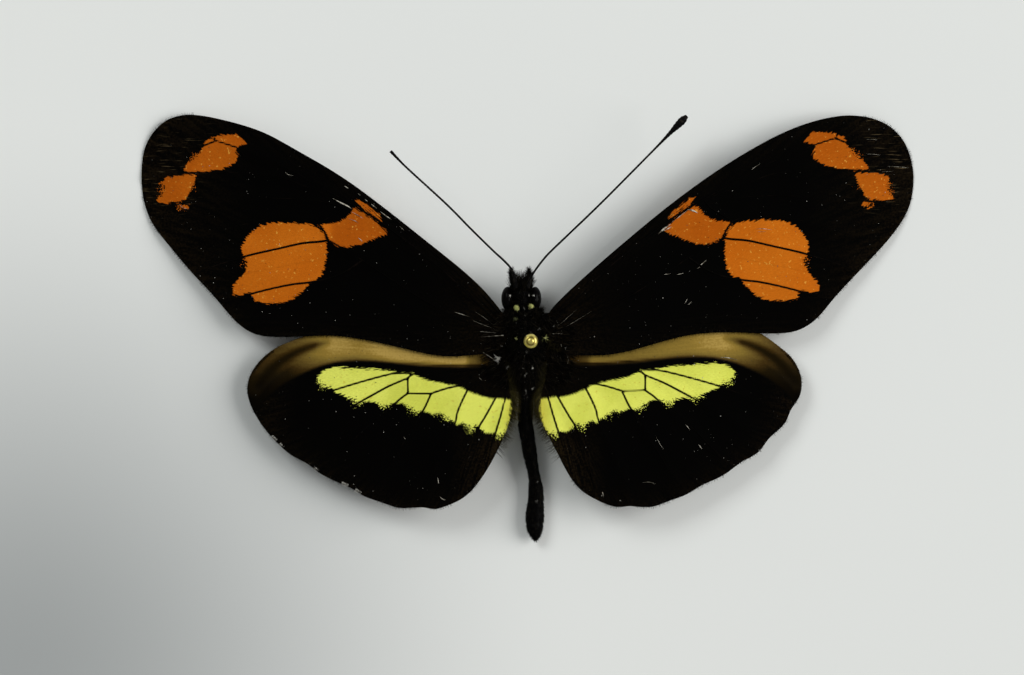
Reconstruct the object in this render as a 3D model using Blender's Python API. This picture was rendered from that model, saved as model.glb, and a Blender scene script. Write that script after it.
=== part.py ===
"""A longwing butterfly, set with its wings spread and held on a clipped steel pin.

The insect faces +Y and lies belly down on the plane z = 0, on the tips of its drooping forewings,
the end of its abdomen and the clipped foot of the pin. The origin is the centre of that foot.
Every length below is in millimetres until place() turns it into metres.
"""

import math

import bmesh
import bpy
from mathutils import Matrix, Vector

MM = 0.001

# Driving dimensions
MIDLINE_X = -0.25  # the wings' midline, measured from the pin's axis
PIN_RADIUS = 0.225
PIN_LENGTH = 9.6
PIN_HEAD_RADIUS = 0.71
GAP = 0.05  # clearance between pieces that touch
WING_THICKNESS = 0.16
WING_SLICE = 2.4  # width of the flat strips that make a wing's droop
CURVE_STEPS = 3  # segments between two outline points
SLIVER = 0.1  # outline points this close to each other become one
BODY_SIDES = 20
ABDOMEN_SIDES = 16
PALP_SIDES = 8
FINE_SIDES = 6

# Outlines of the wings as they were set, each from the front of its hinge round the tip:
# (distance out from the midline, distance towards the head)
OUTLINES = {
    "forewing_right": [
        (1.75, 2.2), (2.3, 3.2), (5.0, 5.85), (10.0, 10.2), (15.0, 14.25), (20.0, 17.75), (25.0, 20.6),
        (29.0, 22.1), (32.5, 22.6), (35.5, 21.95), (37.6, 20.2), (38.55, 17.6), (38.6, 15.2),
        (38.0, 12.9), (36.3, 10.4), (34.0, 7.9), (31.6, 5.4), (30.0, 3.6), (28.8, 2.1), (27.3, 1.15),
        (24.8, 0.72), (20.0, 0.88), (16.0, 0.6), (12.0, -0.45), (9.0, -1.25), (6.0, -1.45),
        (3.4, -1.2), (1.75, -0.2),
    ],
    "forewing_left": [
        (2.05, 1.9), (2.75, 3.1), (5.3, 6.0), (10.0, 9.85), (15.0, 13.8), (18.9, 16.6), (23.1, 19.05),
        (26.5, 20.9), (30.4, 22.1), (33.9, 22.7), (36.3, 22.1), (37.8, 20.8), (38.5, 19.2),
        (38.75, 16.6), (38.5, 14.0), (37.6, 11.7), (35.8, 9.4), (33.6, 6.8), (31.9, 5.05),
        (30.3, 3.2), (28.6, 1.4), (26.6, 0.5), (23.5, 0.4), (20.5, 0.55), (17.5, 0.35), (14.0, -0.35),
        (10.0, -1.3), (7.8, -1.6), (5.8, -1.4), (3.5, -1.2), (2.05, -0.3),
    ],
    "hindwing_right": [
        (1.75, -0.7), (2.4, 0.3), (4.8, 0.9), (9.0, 1.4), (14.0, 1.9), (18.0, 2.0), (21.0, 1.6),
        (23.2, 0.75), (25.0, -0.5), (26.6, -1.9), (27.35, -3.6), (27.3, -5.1), (26.9, -6.0),
        (26.1, -7.0), (25.8, -8.2), (24.6, -9.2), (23.7, -10.1), (23.1, -11.1), (21.2, -12.1),
        (20.0, -13.05), (18.9, -13.7), (17.0, -14.5), (15.9, -15.3), (14.2, -15.85), (12.6, -16.5),
        (11.2, -16.55), (10.0, -16.4), (8.9, -16.6), (7.0, -15.9), (5.2, -14.8), (3.9, -13.1),
        (3.0, -11.3), (2.1, -9.6), (1.3, -8.0), (0.95, -6.5), (1.1, -4.8), (1.6, -3.2),
    ],
    "hindwing_left": [
        (2.05, -0.8), (2.6, 0.1), (5.0, 0.7), (9.0, 1.1), (14.0, 1.6), (18.0, 1.5), (20.8, 1.0),
        (23.2, 0.15), (25.2, -0.7), (26.9, -2.05), (27.9, -3.6), (28.1, -5.2), (27.6, -6.7),
        (26.8, -8.1), (25.8, -9.4), (24.8, -10.4), (23.7, -11.4), (21.9, -12.25), (21.1, -13.0),
        (19.0, -14.1), (17.4, -14.75), (16.4, -15.5), (14.3, -16.15), (13.2, -16.6), (11.8, -16.65),
        (10.3, -16.5), (9.3, -16.8), (6.9, -15.9), (5.7, -15.0), (4.2, -13.0), (3.1, -11.0),
        (2.1, -8.8), (1.6, -7.0), (1.45, -5.4), (1.8, -3.4),
    ],
}

# How each pair hangs: height at the hinge, drop from there to the wing's outermost point, and
# how sharply the droop grows
HINGE = 1.9
HANG = {
    "forewing": {"root": 4.4, "drop": 4.32, "power": 1.7},
    "hindwing": {"root": 4.05, "drop": 2.4, "power": 1.6},
}

# Stations of the lofted pieces: (across from the midline, along, height, half width, half height)
THORAX = [
    (-0.5, 2.72, 3.35, 0.55, 0.6), (-0.45, 2.45, 3.35, 1.0, 1.0), (-0.35, 2.0, 3.35, 1.25, 1.3),
    (-0.25, 1.3, 3.35, 1.5, 1.65), (-0.2, 0.3, 3.35, 1.68, 1.9), (-0.2, -0.8, 3.35, 1.7, 1.95),
    (-0.2, -2.0, 3.3, 1.5, 1.75), (-0.18, -3.1, 3.25, 1.2, 1.4), (-0.15, -3.9, 3.2, 0.9, 1.1),
    (-0.15, -4.3, 3.2, 0.6, 0.7),
]
ABDOMEN = [
    (-0.15, -4.4, 3.2, 0.5, 0.6), (-0.15, -4.8, 3.15, 0.75, 0.85), (-0.22, -6.0, 3.0, 0.75, 0.9),
    (-0.28, -8.0, 2.62, 0.72, 0.85), (0.0, -10.0, 2.15, 0.71, 0.8), (0.32, -12.0, 1.65, 0.64, 0.72),
    (0.54, -13.1, 1.4, 0.56, 0.68), (0.74, -14.2, 1.18, 0.67, 0.72), (0.8, -15.6, 0.98, 0.76, 0.78),
    (0.7, -17.0, 0.86, 0.87, 0.86), (0.67, -18.2, 0.86, 0.88, 0.86), (0.7, -19.1, 0.9, 0.68, 0.68),
    (0.75, -19.7, 0.92, 0.36, 0.36), (0.77, -20.0, 0.93, 0.1, 0.1),
]
HEAD_X = -0.67
HEAD = [
    (HEAD_X, 2.85, 3.45, 0.5, 0.55), (HEAD_X, 3.15, 3.45, 0.95, 0.9), (HEAD_X, 3.7, 3.5, 1.15, 1.1),
    (HEAD_X, 4.4, 3.55, 1.2, 1.15), (HEAD_X, 5.0, 3.5, 1.1, 1.05), (HEAD_X, 5.45, 3.4, 0.8, 0.8),
    (HEAD_X, 5.7, 3.35, 0.45, 0.5),
]
EYE_CENTRE = (1.36, 4.22, 3.42)  # out from the head's own middle, along, height
EYE_HALF = (0.64, 1.2, 1.06)

# Routes of the thin pieces: (across from the midline, along, height, radius)
ANTENNA_RIGHT = [
    (-0.05, 5.3, 4.55, 0.16), (0.08, 5.75, 4.6, 0.12), (0.35, 6.45, 4.68, 0.08), (0.83, 7.2, 4.76, 0.07),
    (1.52, 8.1, 4.85, 0.07), (2.2, 8.85, 4.92, 0.07), (4.1, 10.67, 5.1, 0.07), (7.05, 13.5, 5.3, 0.07),
    (10.1, 16.56, 5.4, 0.07), (12.8, 19.3, 5.4, 0.075), (14.1, 20.65, 5.35, 0.14),
    (14.8, 21.37, 5.3, 0.23), (15.35, 21.93, 5.25, 0.26), (15.75, 22.33, 5.2, 0.12),
]
ANTENNA_LEFT = [
    (-1.2, 5.3, 4.55, 0.16), (-1.25, 5.75, 4.6, 0.12), (-1.4, 6.5, 4.68, 0.085), (-1.72, 7.24, 4.76, 0.075),
    (-2.52, 8.1, 4.85, 0.075), (-3.4, 8.9, 4.92, 0.07), (-5.7, 11.15, 5.05, 0.07), (-8.07, 13.55, 5.15, 0.07),
    (-11.78, 16.95, 5.25, 0.07), (-12.8, 17.95, 5.25, 0.08), (-13.65, 18.85, 5.22, 0.11),
]
PALP_RIGHT = [
    (0.06, 5.7, 2.95, 0.2), (0.1, 6.05, 3.15, 0.27), (0.1, 6.5, 3.4, 0.22), (0.08, 6.85, 3.6, 0.13),
    (0.08, 7.15, 3.7, 0.05),
]
PALP_LEFT = [
    (-1.36, 5.7, 2.95, 0.2), (-1.42, 6.05, 3.15, 0.27), (-1.55, 6.5, 3.4, 0.22), (-1.66, 6.85, 3.6, 0.13),
    (-1.7, 7.15, 3.7, 0.05),
]
LEGS_MIDDLE = -0.2  # the legs mirror each other about this line
LEG_ROUTES = {
    "foreleg": [
        (0.55, 2.0, 1.75, 0.14), (0.75, 2.5, 1.6, 0.13), (0.85, 3.2, 1.75, 0.09), (0.75, 3.8, 1.95, 0.06),
    ],
    "midleg": [
        (1.05, 0.6, 1.3, 0.17), (1.5, 0.9, 1.15, 0.18), (2.1, 1.5, 1.05, 0.15), (2.5, 2.0, 1.0, 0.12),
        (2.35, 1.3, 0.75, 0.1), (2.05, 0.2, 0.5, 0.09), (1.8, -0.9, 0.35, 0.08), (1.65, -2.0, 0.22, 0.06),
        (1.6, -2.9, 0.16, 0.05),
    ],
    "hindleg": [
        (0.95, -1.9, 1.3, 0.17), (1.4, -2.3, 1.15, 0.18), (2.1, -3.1, 1.1, 0.14), (2.7, -3.9, 1.1, 0.11),
        (2.65, -4.6, 0.95, 0.1), (2.6, -5.6, 0.7, 0.09), (2.6, -6.7, 0.5, 0.08), (2.65, -7.6, 0.35, 0.06),
        (2.75, -8.3, 0.3, 0.05),
    ],
}
PROBOSCIS_CENTRE = (HEAD_X, 5.25, 1.4)
PROBOSCIS_OUTER = 0.7
PROBOSCIS_INNER = 0.25
PROBOSCIS_START = 1.75  # radians round the coil, just behind its top
PROBOSCIS_TURNS = 1.9
PROBOSCIS_RADIUS = 0.1
PROBOSCIS_POINTS = 30

COLOURS = {  # base colour, roughness, metallic
    "wing_scales": ((0.012, 0.009, 0.007), 0.65, 0.0),
    "body_fur": ((0.010, 0.009, 0.010), 0.80, 0.0),
    "eye_dark": ((0.006, 0.005, 0.005), 0.15, 0.0),
    "antenna_dark": ((0.014, 0.010, 0.008), 0.55, 0.0),
    "pin_steel": ((0.42, 0.42, 0.43), 0.30, 1.0),
    "pin_brass": ((0.62, 0.55, 0.24), 0.35, 1.0),
}


def place(across, along, height):
    """A point given from the insect's midline, in metres from the pin's foot."""
    return Vector((across + MIDLINE_X, along, height)) * MM


def material(name):
    made = bpy.data.materials.get(name)
    if made:
        return made
    made = bpy.data.materials.new(name)
    made.use_nodes = True
    colour, roughness, metallic = COLOURS[name]
    shader = made.node_tree.nodes["Principled BSDF"]
    shader.inputs["Base Color"].default_value = (*colour, 1.0)
    shader.inputs["Roughness"].default_value = roughness
    shader.inputs["Metallic"].default_value = metallic
    return made


def add_object(name, bm, finish, smooth=True):
    """Turns a bmesh into a named object with its faces pointing out."""
    bmesh.ops.recalc_face_normals(bm, faces=bm.faces)
    mesh = bpy.data.meshes.new(name)
    bm.to_mesh(mesh)
    bm.free()
    mesh.materials.append(material(finish))
    if smooth:
        mesh.shade_smooth()
        mesh.set_sharp_from_angle(angle=math.radians(40))
    obj = bpy.data.objects.new(name, mesh)
    bpy.context.scene.collection.objects.link(obj)
    return obj


def ring_matrix(points, i, half_width, half_height):
    """Places a unit circle across the route at its i-th point, its width level with the ground."""
    tangent = (points[min(i + 1, len(points) - 1)] - points[max(i - 1, 0)]).normalized()
    side = tangent.cross(Vector((0, 0, 1))).normalized()
    up = side.cross(tangent)
    turn = Matrix((side, up, tangent)).transposed().to_4x4()
    return Matrix.Translation(points[i]) @ turn @ Matrix.Diagonal((half_width, half_height, 1, 1))


def loft(name, stations, sides, finish):
    """A closed skin over rings given as (across, along, height, half width[, half height])."""
    points = [place(*station[:3]) for station in stations]
    bm = bmesh.new()
    ring = bmesh.ops.create_circle(bm, segments=sides, radius=1.0)["verts"]
    edges = list(bm.edges)
    for i, station in enumerate(stations):
        if i:
            grown = bmesh.ops.extrude_edge_only(bm, edges=edges)["geom"]
            ring = [g for g in grown if isinstance(g, bmesh.types.BMVert)]
            edges = [g for g in grown if isinstance(g, bmesh.types.BMEdge) and g.is_boundary]
            bmesh.ops.transform(bm, matrix=previous.inverted(), verts=ring)
        previous = ring_matrix(points, i, station[3] * MM, station[-1] * MM)
        bmesh.ops.transform(bm, matrix=previous, verts=ring)
    bmesh.ops.holes_fill(bm, edges=bm.edges, sides=0)
    return add_object(name, bm, finish)


def ellipsoid(name, centre, half, finish, segments=16, rings=10):
    bm = bmesh.new()
    bmesh.ops.create_uvsphere(bm, u_segments=segments, v_segments=rings, radius=1.0)
    matrix = Matrix.Translation(centre) @ Matrix.Diagonal((*[h * MM for h in half], 1))
    bmesh.ops.transform(bm, matrix=matrix, verts=bm.verts)
    return add_object(name, bm, finish)


def cylinder(name, low, high, radius, sides, finish):
    """An upright cylinder on the pin's axis, between two heights."""
    bm = bmesh.new()
    bmesh.ops.create_cone(
        bm, cap_ends=True, segments=sides, radius1=radius * MM, radius2=radius * MM, depth=(high - low) * MM
    )
    bmesh.ops.translate(bm, vec=(0, 0, (low + high) / 2 * MM), verts=bm.verts)
    return add_object(name, bm, finish)


def cut(obj, cutter):
    """Takes the cutter's shape out of obj, and leaves the cutter as a hidden helper."""
    cutter.hide_render = True
    cutter.display_type = "WIRE"
    modifier = obj.modifiers.new("clearance", "BOOLEAN")
    modifier.operation = "DIFFERENCE"
    modifier.object = cutter


def smooth_outline(points, steps):
    """A closed Catmull-Rom curve through the points, with so many segments between each two."""
    found = []
    count = len(points)
    for i in range(count):
        a, b, c, d = (Vector(points[(i + k) % count]) for k in (-1, 0, 1, 2))
        for step in range(steps):
            t = step / steps
            found.append(
                0.5 * (2 * b + (c - a) * t + (2 * a - 5 * b + 4 * c - d) * t**2 + (3 * b - a - 3 * c + d) * t**3)
            )
    return found


def wing(name, outline, hang, side):
    """One wing: its outline cut into strips, bent down towards the tip and given a thickness."""
    bm = bmesh.new()
    bm.faces.new([bm.verts.new((p.x, p.y, 0)) for p in smooth_outline(outline, CURVE_STEPS)])
    reach = max(vert.co.x for vert in bm.verts)
    strips = int(reach / WING_SLICE)
    for i in range(1, strips):
        geometry = list(bm.verts) + list(bm.edges) + list(bm.faces)
        bmesh.ops.bisect_plane(bm, geom=geometry, plane_co=(reach * i / strips, 0, 0), plane_no=(1, 0, 0))
    bmesh.ops.remove_doubles(bm, verts=bm.verts, dist=SLIVER)
    for vert in bm.verts:
        across, along, _ = vert.co
        out = max(0.0, across - HINGE) / (reach - HINGE)
        vert.co = place(side * across, along, hang["root"] - hang["drop"] * out ** hang["power"])
    bmesh.ops.triangulate(bm, faces=bm.faces)
    obj = add_object(name, bm, "wing_scales", smooth=False)
    membrane = obj.modifiers.new("membrane", "SOLIDIFY")
    membrane.thickness = WING_THICKNESS * MM
    membrane.offset = 0


def build_wings():
    for name, outline in OUTLINES.items():
        pair, side = name.split("_")
        wing(name, outline, HANG[pair], 1 if side == "right" else -1)


def build_body():
    thorax = loft("thorax", THORAX, BODY_SIDES, "body_fur")
    cut(thorax, cylinder("pin_hole", -1, PIN_LENGTH, PIN_RADIUS + GAP, 12, "body_fur"))
    loft("abdomen", ABDOMEN, ABDOMEN_SIDES, "body_fur")


def build_head():
    head = loft("head", HEAD, BODY_SIDES, "body_fur")
    across, along, height = EYE_CENTRE
    for side_name, side in (("right", 1), ("left", -1)):
        centre = place(HEAD_X + side * across, along, height)
        ellipsoid(f"eye_{side_name}", centre, EYE_HALF, "eye_dark")
        socket = [h + GAP for h in EYE_HALF]
        cut(head, ellipsoid(f"eye_socket_{side_name}", centre, socket, "eye_dark"))
    loft("antenna_right", ANTENNA_RIGHT, FINE_SIDES, "antenna_dark")
    loft("antenna_left", ANTENNA_LEFT, FINE_SIDES, "antenna_dark")
    loft("palp_right", PALP_RIGHT, PALP_SIDES, "body_fur")
    loft("palp_left", PALP_LEFT, PALP_SIDES, "body_fur")
    build_proboscis()


def build_proboscis():
    """The coiled tongue, a spiral in the upright plane between the palps."""
    x, y, z = PROBOSCIS_CENTRE
    points = []
    for i in range(PROBOSCIS_POINTS):
        share = i / (PROBOSCIS_POINTS - 1)
        angle = PROBOSCIS_START - math.tau * PROBOSCIS_TURNS * share
        radius = PROBOSCIS_OUTER + (PROBOSCIS_INNER - PROBOSCIS_OUTER) * share
        points.append(place(x, y + radius * math.cos(angle), z + radius * math.sin(angle)))
    curve = bpy.data.curves.new("proboscis", "CURVE")
    curve.dimensions = "3D"
    curve.bevel_depth = PROBOSCIS_RADIUS * MM
    curve.bevel_resolution = 1
    curve.use_fill_caps = True
    spline = curve.splines.new("POLY")
    spline.points.add(len(points) - 1)
    for target, point in zip(spline.points, points):
        target.co = (*point, 1)
    curve.materials.append(material("antenna_dark"))
    bpy.context.scene.collection.objects.link(bpy.data.objects.new("proboscis", curve))


def build_legs():
    for leg, route in LEG_ROUTES.items():
        for side_name, side in (("right", 1), ("left", -1)):
            stations = [(LEGS_MIDDLE + side * across, *rest) for across, *rest in route]
            loft(f"{leg}_{side_name}", stations, FINE_SIDES, "antenna_dark")


def build_pin():
    cylinder("pin_shank", 0, PIN_LENGTH, PIN_RADIUS, 16, "pin_steel")
    centre = Vector((0, 0, PIN_LENGTH + GAP + PIN_HEAD_RADIUS)) * MM
    ellipsoid("pin_head", centre, [PIN_HEAD_RADIUS] * 3, "pin_brass", segments=20, rings=12)


for old in list(bpy.data.objects):
    bpy.data.objects.remove(old)
build_wings()
build_body()
build_head()
build_legs()
build_pin()
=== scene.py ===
# %% [markdown]
# # A pinned longwing butterfly
# A dried butterfly, set with its wings spread and held on a steel pin with a brass ball. The packed
# solids say where every piece lies. Each one is a plain closed shape, so this script rebuilds each
# of them finely in the same place and gives it its scales, hairs, veins or metal.

import math

import bmesh
import bpy
import numpy as np
from mathutils import Matrix, Vector
from mathutils.bvhtree import BVHTree


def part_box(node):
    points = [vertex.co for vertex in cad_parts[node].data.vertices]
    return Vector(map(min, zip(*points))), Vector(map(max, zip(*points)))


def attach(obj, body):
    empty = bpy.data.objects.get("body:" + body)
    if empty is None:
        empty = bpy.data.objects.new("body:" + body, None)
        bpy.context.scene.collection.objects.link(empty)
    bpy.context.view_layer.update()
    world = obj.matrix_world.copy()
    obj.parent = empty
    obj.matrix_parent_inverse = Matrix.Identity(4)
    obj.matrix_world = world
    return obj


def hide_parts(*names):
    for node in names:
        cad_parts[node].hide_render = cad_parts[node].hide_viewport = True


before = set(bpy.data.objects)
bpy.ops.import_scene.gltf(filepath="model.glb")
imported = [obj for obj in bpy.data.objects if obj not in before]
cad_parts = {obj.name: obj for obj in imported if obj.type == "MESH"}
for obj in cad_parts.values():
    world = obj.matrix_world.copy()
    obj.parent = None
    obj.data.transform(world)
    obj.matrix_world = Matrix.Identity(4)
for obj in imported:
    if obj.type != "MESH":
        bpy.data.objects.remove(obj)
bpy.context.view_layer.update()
MM = 0.001  # the insect is small, so sizes below are in millimetres

# %% [markdown]
# ## Camera, floor and light
# A specimen is looked at from straight above. A long lens from half a metre away keeps the wings in
# proportion. A broad lamp on the insect's right gives the soft shadows. A weaker lamp on its left
# and a pale surround fill them, as in a light tent.

# %% Camera and floor
VIEW_CENTRE = Vector((-1.85, 0.35, 0.0)) * MM
CAMERA_HEIGHT = 500 * MM
VIEW_WIDTH = 102.4 * MM
WING_LEVEL = 1.5 * MM  # the height at which the view is that wide
SENSOR = 36.0
FLOOR_SIZE = 3.0
FLOOR_DROP = 0.02 * MM


def link_object(name, data):
    """A new object at the origin that shows the given data."""
    made = bpy.data.objects.new(name, data)
    bpy.context.scene.collection.objects.link(made)
    return made


def new_object(name, bm):
    """Gives a finished bmesh to a new object."""
    mesh = bpy.data.meshes.new(name)
    bm.to_mesh(mesh)
    bm.free()
    return link_object(name, mesh)


camera_data = bpy.data.cameras.new("camera")
camera_data.sensor_width = SENSOR
camera_data.lens = SENSOR * CAMERA_HEIGHT / VIEW_WIDTH
camera_data.clip_start = 0.01
camera = link_object("camera", camera_data)
camera.location = VIEW_CENTRE + Vector((0, 0, CAMERA_HEIGHT + WING_LEVEL))
bpy.context.scene.camera = camera
bpy.context.scene.view_settings.view_transform = "Standard"

bm = bmesh.new()
bmesh.ops.create_grid(bm, x_segments=1, y_segments=1, size=FLOOR_SIZE / 2)
floor = new_object("floor", bm)
floor.location.z = -FLOOR_DROP
print("camera lens mm:", round(camera_data.lens, 1))

# %% Lights
world = bpy.data.worlds.new("surround")
world.use_nodes = True
surround = world.node_tree.nodes["Background"]
surround.inputs["Color"].default_value = (0.965, 0.985, 0.975, 1.0)
surround.inputs["Strength"].default_value = 0.24
bpy.context.scene.world = world


def lamp(name, place, size, power, colour):
    """A square area lamp that faces the insect."""
    data = bpy.data.lights.new(name, "AREA")
    data.size = size
    data.energy = power
    data.color = colour
    made = link_object(name, data)
    made.location = place
    made.rotation_euler = (-Vector(place)).to_track_quat("-Z", "Y").to_euler()


lamp("key_lamp", (1.0, 0.12, 0.66), 0.9, 12.4, (1.0, 0.995, 0.975))
lamp("side_lamp", (-0.35, 0.35, 0.5), 0.3, 1.45, (0.97, 1.0, 0.99))

# %% [markdown]
# ## Finishes
# Every finish is a Principled shader. A small helper makes the material and lets the next cells
# wire nodes together in few words.


# %% Material helpers
def material(name, colour, roughness, metallic=0.0, specular=0.5):
    """A new Principled material, with its node tree and shader."""
    made = bpy.data.materials.new(name)
    made.use_nodes = True
    shader = made.node_tree.nodes["Principled BSDF"]
    shader.inputs["Base Color"].default_value = (*colour, 1.0)
    shader.inputs["Roughness"].default_value = roughness
    shader.inputs["Metallic"].default_value = metallic
    shader.inputs["Specular IOR Level"].default_value = specular
    return made, made.node_tree, shader


def node(tree, kind, **settings):
    """Adds a node; settings that name an input socket fill it, the others are its properties."""
    made = tree.nodes.new(kind)
    for key, value in settings.items():
        title = key.replace("_", " ").title()
        if title in made.inputs:
            made.inputs[title].default_value = value
        else:
            setattr(made, key, value)
    return made


def attribute(tree, name):
    return node(tree, "ShaderNodeAttribute", attribute_name=name).outputs["Fac"]


def ramp(tree, value, low, high):
    """0 below low, 1 above high, and smooth in between."""
    made = node(tree, "ShaderNodeMapRange", interpolation_type="SMOOTHSTEP", from_min=low, from_max=high)
    tree.links.new(value, made.inputs["Value"])
    return made.outputs["Result"]


def feed(tree, socket, term):
    """Fills a socket with a number, a colour or another node's output."""
    if isinstance(term, (int, float)):
        socket.default_value = term
    elif isinstance(term, tuple):
        socket.default_value = (*term, 1.0)
    else:
        tree.links.new(term, socket)


def maths(tree, operation, *terms):
    """One Math node; a term is a number or another node's output."""
    made = node(tree, "ShaderNodeMath", operation=operation)
    for socket, term in zip(made.inputs, terms):
        feed(tree, socket, term)
    return made.outputs[0]


def blend_colours(tree, factor, first, second, mode="MIX"):
    """One colour Mix node; first and second are colours or outputs."""
    made = node(tree, "ShaderNodeMix", data_type="RGBA", blend_type=mode)
    for place, term in ((0, factor), (6, first), (7, second)):
        feed(tree, made.inputs[place], term)
    return made.outputs[2]


def paint(tree, shader, factor, first, second, mode="MIX"):
    """Blends two tones into a shader's colour."""
    tree.links.new(blend_colours(tree, factor, first, second, mode), shader.inputs["Base Color"])


def object_space(tree):
    return node(tree, "ShaderNodeTexCoord").outputs["Object"]


def noise(tree, coordinates, scale, detail=2.0, stretch=(1, 1, 1)):
    """Noise on the given coordinates, drawn out along an axis by stretch."""
    mapping = node(tree, "ShaderNodeMapping", scale=stretch)
    tree.links.new(coordinates, mapping.inputs["Vector"])
    made = node(tree, "ShaderNodeTexNoise", scale=scale, detail=detail)
    tree.links.new(mapping.outputs["Vector"], made.inputs["Vector"])
    return made.outputs["Fac"]


def bump(tree, shader, height, distance, strength=0.5):
    made = node(tree, "ShaderNodeBump", strength=strength, distance=distance)
    tree.links.new(height, made.inputs["Height"])
    tree.links.new(made.outputs["Normal"], shader.inputs["Normal"])


BOARD_TONES = ((0.84, 0.86, 0.85), (0.89, 0.90, 0.88))
# painted shade: the board's own colour is darkened around one corner
PAINTED_SHADE_CORNER = (-0.052, -0.034, 0.0)  # the board falls into shade around this place
PAINTED_SHADE_REACH = 0.058
PAINTED_SHADE_TONES = ((0.45, 0.46, 0.47), (1.0, 1.0, 1.0))
floor_finish, tree, shader = material("pale_board", (0.86, 0.86, 0.85), 0.75)
where = object_space(tree)
tone = blend_colours(tree, noise(tree, where, 9.0), *BOARD_TONES)
from_corner = node(tree, "ShaderNodeVectorMath", operation="DISTANCE")
from_corner.inputs[1].default_value = PAINTED_SHADE_CORNER
tree.links.new(where, from_corner.inputs[0])
shade = blend_colours(tree, ramp(tree, from_corner.outputs["Value"], 0.0, PAINTED_SHADE_REACH), *PAINTED_SHADE_TONES)
paint(tree, shader, 1.0, tone, shade, "MULTIPLY")
floor.data.materials.append(floor_finish)

# %% [markdown]
# ## The wings' plan
# A butterfly's wing is a flat membrane held out by veins. The pattern is easiest to draw flat, in a
# plan whose first number is the distance out from the midline and whose second is the distance
# towards the head. The droop is added afterwards, by the formula that bent the solid wing.

# %% Wing geometry shared by membrane, veins and fringe
MIDLINE = -0.25  # the wings' midline, measured from the pin
SOLID_THICKNESS = 0.16
HINGE = 1.9
DROOP_POWER = {"forewing": 1.7, "hindwing": 1.6}


class WingPlan:
    """Where one wing lies, read from its solid."""

    def __init__(self, name):
        self.name = name
        self.kind, self.hand = name.split("_")
        self.side = 1 if self.hand == "right" else -1
        low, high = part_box(name)
        outermost = high.x if self.side > 0 else low.x
        self.reach = self.side * (outermost / MM - MIDLINE)
        self.root = high.z / MM - SOLID_THICKNESS / 2
        self.drop = (high.z - low.z) / MM - SOLID_THICKNESS
        self.power = DROOP_POWER[self.kind]

    def height(self, across):
        out = max(0.0, across - HINGE) / (self.reach - HINGE)
        return self.root - self.drop * out**self.power

    def place(self, across, along, lift=0.0):
        """A point of the plan, in the object's frame in metres."""
        x = MIDLINE + self.side * across
        return Vector((x, along, self.height(across) + lift)) * MM

    def plan(self, spots):
        """The plan places of many points given in the object's frame, in millimetres."""
        return np.column_stack((self.side * (spots[:, 0] - MIDLINE), spots[:, 1]))


WINGS = [WingPlan(f"{pair}_{hand}") for pair in ("forewing", "hindwing") for hand in ("right", "left")]
for wing in WINGS:
    print(wing.name, "reach", round(wing.reach, 2), "root", round(wing.root, 2), "drop", round(wing.drop, 2))

# %% [markdown]
# The pattern is drawn once, as it lies on the right wings. The left wings were set a little
# differently, so their pattern is the same drawing, turned and shifted by a fraction of a
# millimetre.

# %% The forewing's patches and veins
FOREWING_PATCHES = [
    # the band across the end of the cell, and its streak along the front edge
    [(13.9, 12.1), (14.2, 12.8), (14.75, 13.3), (15.45, 13.85), (16.1, 14.4), (16.7, 14.45), (16.65, 14.0),
     (16.0, 13.4), (15.0, 12.65), (14.3, 12.1)],
    [(13.4, 11.0), (14.3, 12.0), (15.6, 12.95), (16.7, 13.6), (17.1, 13.3), (17.75, 12.6), (18.7, 12.15),
     (20.0, 12.05), (20.4, 11.85), (19.9, 11.1), (19.5, 10.4), (18.95, 9.8), (17.6, 9.5), (16.0, 9.8),
     (14.8, 10.3), (13.9, 10.65)],
    # the large oval patch beyond the cell
    [(20.45, 11.7), (21.5, 12.05), (23.8, 12.2), (25.8, 12.05), (27.0, 11.45), (27.7, 10.6), (28.2, 9.7),
     (28.1, 8.8), (27.75, 8.2), (27.8, 7.4), (28.4, 6.65), (29.05, 5.9), (29.2, 5.1), (28.9, 4.75),
     (28.2, 4.7), (27.3, 4.95), (27.1, 4.5), (26.8, 4.1), (25.5, 3.9), (23.9, 4.0), (22.7, 4.5),
     (21.6, 5.4), (21.1, 6.1), (20.4, 6.25), (19.85, 7.0), (19.55, 8.0), (19.45, 9.3), (19.55, 10.3),
     (19.8, 11.0)],
    # the two patches before the tip
    [(27.55, 19.85), (27.9, 20.6), (28.8, 21.0), (30.2, 20.95), (30.9, 20.75), (31.5, 20.55), (31.9, 20.2),
     (32.0, 19.7), (32.5, 19.15), (33.1, 18.65), (33.7, 18.1), (34.1, 17.5), (34.2, 17.15), (33.0, 17.0),
     (31.5, 17.1), (30.0, 17.3), (28.9, 17.8), (28.3, 18.4), (28.45, 19.0), (28.5, 19.5)],
    [(32.55, 16.95), (33.5, 17.0), (34.9, 16.9), (36.0, 16.65), (36.3, 16.0), (36.2, 15.2), (36.6, 14.7),
     (36.8, 14.2), (36.2, 14.0), (35.0, 14.0), (34.0, 14.15), (33.45, 14.6), (33.35, 15.1), (32.95, 15.6),
     (32.75, 16.3)],
    [(33.35, 14.0), (34.5, 14.05), (34.6, 13.5), (33.6, 13.3)],
]
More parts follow.
